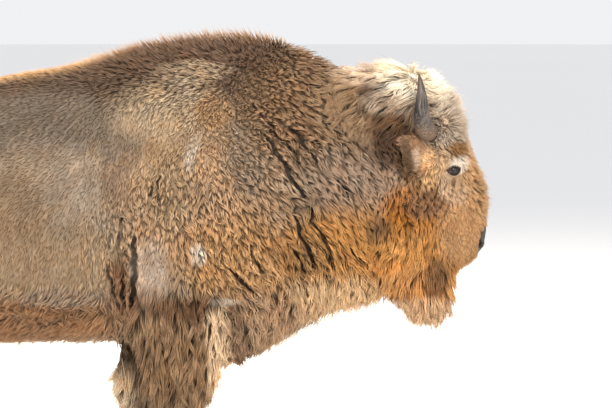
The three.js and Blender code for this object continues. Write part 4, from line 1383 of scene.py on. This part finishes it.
# Painted shade: a tuft is darker towards its root, by its zone's shade.
root_to_tip = 1 - shade * (1 - smooth(along, 0.0, 0.8)) + 0.12 * along
# Painted shade in creases and a painted highlight on their banks, through the crease number.
bright = root_to_tip * (1 + (tone_socket - 0.5) * (0.12 + 0.65 * shade)) * (1 - 0.75 * number(hair, "crease"))
tint = times(hair, tint, WARM_SHADE, smooth(tone_socket, 0.45, 0.15) * 0.7)
hair.finish(Base_Color=scaled(hair, tint, bright), Roughness=0.62, Specular_IOR_Level=0.25)
print("the hair's finish has", len(hair.tree.nodes), "nodes")

# %% Finish of the skin
LEATHER_DARK, LEATHER_PALE = (0.014, 0.010, 0.008), (0.065, 0.045, 0.034)
# The colour of the wet lid rims, also painted as shade in the nostrils and the mouth's slit.
WET_RIMS_AND_HOLLOW_SHADE = (0.018, 0.014, 0.013)

hide = Paint("coat_skin")
tint, (x, y, z) = coat_colour(hide)
nose = ZONES["nose"](x, y, z)
leather = hide.mix(smooth(noise(hide, 160.0, 2.0), 0.35, 0.6), LEATHER_DARK, LEATHER_PALE)
# Painted shade: the skin is darker under hair with deep root shade, and darker still in creases.
skin_shade = (0.80 - 0.62 * number(hide, "shade")) * (1 - 0.86 * number(hide, "crease"))
tint = scaled(hide, tint, skin_shade * (0.85 + 0.3 * noise(hide, 120.0, 2.0)))
tint = hide.mix(nose, tint, leather)
# Dark wet lid rims, and painted shade in the nostrils and the mouth's slit.
tint = hide.mix(number(hide, "rim"), tint, WET_RIMS_AND_HOLLOW_SHADE)
strands = noise(hide, 260.0, 2.0, (1.6, 1.6, 0.25))
pebbles = hide.node("TexVoronoi", {}, Vector=object_place(hide), Scale=330.0)
bump = relief(hide, strands * (1 - nose) + pebbles * nose, 0.5, 0.003)
rough = 0.75 - 0.12 * nose - 0.35 * number(hide, "rim")
hide.finish(Base_Color=tint, Roughness=rough, Normal=bump, Specular_IOR_Level=0.3)
print("the skin's finish has", len(hide.tree.nodes), "nodes")

# %% [markdown]
# ## Eyes
#
# A bison's eye is dark brown to black, wet, and a little bulged over the pupil. Each is a sphere whose pole
# is turned to where it looks. The number kept per vertex, the cosine of the angle from that pole, tells
# pupil, iris and white apart, so the material needs no coordinates of its own.

# %% Eyeballs
CORNEA = 1.3  # millimetres that it bulges
EYE_WHITE, IRIS_BROWN = (0.12, 0.08, 0.06), (0.016, 0.009, 0.007)
PUPIL, FIBRES = (0.004, 0.004, 0.006), (0.06, 0.03, 0.015)

iris = Paint("eye_wet")
gaze = number(iris, "gaze")
eye_colour = iris.mix(smooth(gaze, 0.62, 0.74), EYE_WHITE, IRIS_BROWN)
eye_colour = iris.mix(smooth(gaze, 0.90, 0.93), eye_colour, PUPIL)
fibres = noise(iris, 900.0, 2.0)
eye_colour = iris.mix(fibres * smooth(gaze, 0.90, 0.80) * 0.5, eye_colour, FIBRES)
iris.finish(Base_Color=eye_colour, Roughness=0.12, Coat_Weight=0.25, Coat_Roughness=0.03,
            Specular_IOR_Level=0.25)


def eye_piece(side):
    ball = bmesh.new()
    bmesh.ops.create_uvsphere(ball, u_segments=40, v_segments=24, radius=EYE_RADIUS / 1000)
    mirror = Vector((1, SIDES[side], 1))
    looks = Vector(eye_axes[2]) * mirror
    bmesh.ops.rotate(ball, verts=ball.verts, matrix=looks.to_track_quat("Z", "Y").to_matrix())
    for v in ball.verts:
        facing = v.co.normalized().dot(looks)
        v.co *= 1 + CORNEA / EYE_RADIUS * float(smooth(np.array(facing), 0.80, 0.95))
        v.co += Vector(eyeball) * mirror
    piece = from_bmesh(f"eyeball_{side}", ball)
    rays = unit(read(piece.data, "co") - np.array(Vector(eyeball) * mirror))
    store(piece.data, "gaze", rays @ np.array(looks))
    return piece


def dress(piece, material, slot, *nodes):
    """Smooth shading, a material, a parent, and the imported nodes that the piece covers hidden."""
    for face in piece.data.polygons:
        face.use_smooth = True
    piece.data.materials.clear()
    piece.data.materials.append(material)
    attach(piece, "root")
    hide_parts(*nodes)


for side in SIDES:
    dress(eye_piece(side), iris.material, "eye", f"eye_{side}")
print("two eyes, looking along", [round(c, 2) for c in eye_axes[2]])

# %% [markdown]
# ## Horns
#
# A horn is a tapered tube of keratin: pale and rough where it leaves the skin, grey-brown with long dark
# grain above, and polished at the tip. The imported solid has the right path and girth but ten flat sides, so
# a copy is merged and rounded by subdivision. A new spin wouldn't follow the horn's double bend.

# %% Horns
SMOOTHING = 2
ROUNDING_LOSS = 0.0009  # metres
SHAFT_DARK, SHAFT_BROWN, SHAFT_GREY = (0.014, 0.011, 0.009), (0.085, 0.068, 0.056), (0.165, 0.16, 0.155)
COLLAR_DARK, COLLAR_TAN = (0.07, 0.042, 0.026), (0.22, 0.145, 0.095)
POLISHED_TIP = (0.075, 0.052, 0.038)


def rounded_copy(name, nodes, growth):
    """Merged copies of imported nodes, in one piece, grown by what the rounding takes off."""
    whole = bmesh.new()
    for node in nodes:
        part = merged_copy(node)
        swell(part, growth)
        pour(part, whole)
    piece = from_bmesh(name, whole)
    surface = piece.modifiers.new("rounding", "SUBSURF")
    surface.levels = surface.render_levels = SMOOTHING
    piece.data = evaluated(piece)
    piece.modifiers.clear()
    return piece


keratin = Paint("horn_keratin")
level = coordinate(keratin, 2) / UNIT
grain = noise(keratin, 75.0, 5.0, (1.8, 1.8, 0.14))
fine = noise(keratin, 210.0, 3.0, (1.5, 1.5, 0.16))
ring = sine((level + grain * 0.6) * 9.0) * smooth(level, 86.0, 81.0)
shaft = keratin.mix(smooth(grain, 0.40, 0.60), SHAFT_DARK, SHAFT_BROWN)
shaft = keratin.mix(smooth(fine, 0.55, 0.70) * 0.7, shaft, SHAFT_GREY)
collar = keratin.mix(smooth(fine, 0.35, 0.65), COLLAR_DARK, COLLAR_TAN)
horn_colour = keratin.mix(smooth(level + (grain - 0.5) * 8.0, 80.6, 83.0), collar, shaft)
horn_colour = keratin.mix(smooth(level, 87.5, 91.0), horn_colour, POLISHED_TIP)
ridges = relief(keratin, grain * 0.6 + fine * 0.4 + ring * 0.25, 0.8, 0.004)
keratin.finish(Base_Color=horn_colour, Roughness=0.62 - 0.28 * smooth(level, 83.0, 90.0), Normal=ridges,
               Specular_IOR_Level=0.45)
for side in SIDES:
    shell = rounded_copy(f"horn_shell_{side}", [f"horn_{side}"], ROUNDING_LOSS)
    dress(shell, keratin.material, "horn", f"horn_{side}")
print("two horns")

# %% [markdown]
# ## Hooves
#
# Each foot has two toes in dark shells and two small dewclaws behind. The shells keep their flat soles, so
# they are bevelled, not rounded by subdivision, which would lift the soles' edges off the floor.

# %% Hooves and dewclaws
SHELL_DARK, SHELL_GREY, WORN_EDGE = (0.030, 0.024, 0.021), (0.10, 0.08, 0.065), (0.20, 0.17, 0.14)
SHARP = math.radians(12)
EDGE_ROUNDING = 0.0035  # metres

hoof = Paint("hoof_shell")
level = coordinate(hoof, 2)
growth_rings = sine((level + noise(hoof, 25.0) * 0.008) * 900.0)
scuffs = noise(hoof, 90.0, 4.0)
hoof_colour = hoof.mix(smooth(scuffs, 0.4, 0.7), SHELL_DARK, SHELL_GREY)
hoof_colour = hoof.mix(smooth(level, 0.012, 0.0) * 0.7, hoof_colour, WORN_EDGE)
wear = relief(hoof, growth_rings * 0.5 + scuffs, 0.5, 0.002)
hoof.finish(Base_Color=hoof_colour, Roughness=0.45 + 0.25 * scuffs, Normal=wear)

for kind, piece_name in (("toe", "hooves"), ("dewclaw", "dewclaws")):
    nodes = [f"{kind}_{foot}" for foot in FEET]
    shell = bmesh.new()
    for node in nodes:
        pour(merged_copy(node), shell)
    sharp = [e for e in shell.edges if len(e.link_faces) == 2 and e.calc_face_angle(0) > SHARP]
    bmesh.ops.bevel(shell, geom=sharp, offset=EDGE_ROUNDING, segments=2, profile=0.5, affect="EDGES",
                    material=-1, clamp_overlap=True)
    dress(from_bmesh(piece_name, shell), hoof.material, "hoof", *nodes)
print("eight toes and eight dewclaws")

# %% [markdown]
# ## Hand over
#
# The skin takes the place of all the nodes of flesh, which are hidden. The coat's pieces lie over it and
# cover the same nodes.

# %% Dress the skin and the coat
dress(skin, hide.material, "coat", *FLESH)
COVERED = {
    "head_hair": ["head", "beard"], "neck_hair": ["neck"], "legs_hair": ["foreleg", "hindleg"],
    "shoulder_hair": ["trunk"], "withers_hair": ["trunk"], "barrel_hair": ["trunk"], "rump_hair": ["trunk"],
}
for piece in coat_pieces:
    part_name, side = piece.name.rsplit("_", 1)
    nodes = [f"{node}_{side}" if node.endswith("leg") else node for node in COVERED[part_name]]
    dress(piece, hair.material, "mane" if part_name in ("head_hair", "neck_hair") else "coat", *nodes)
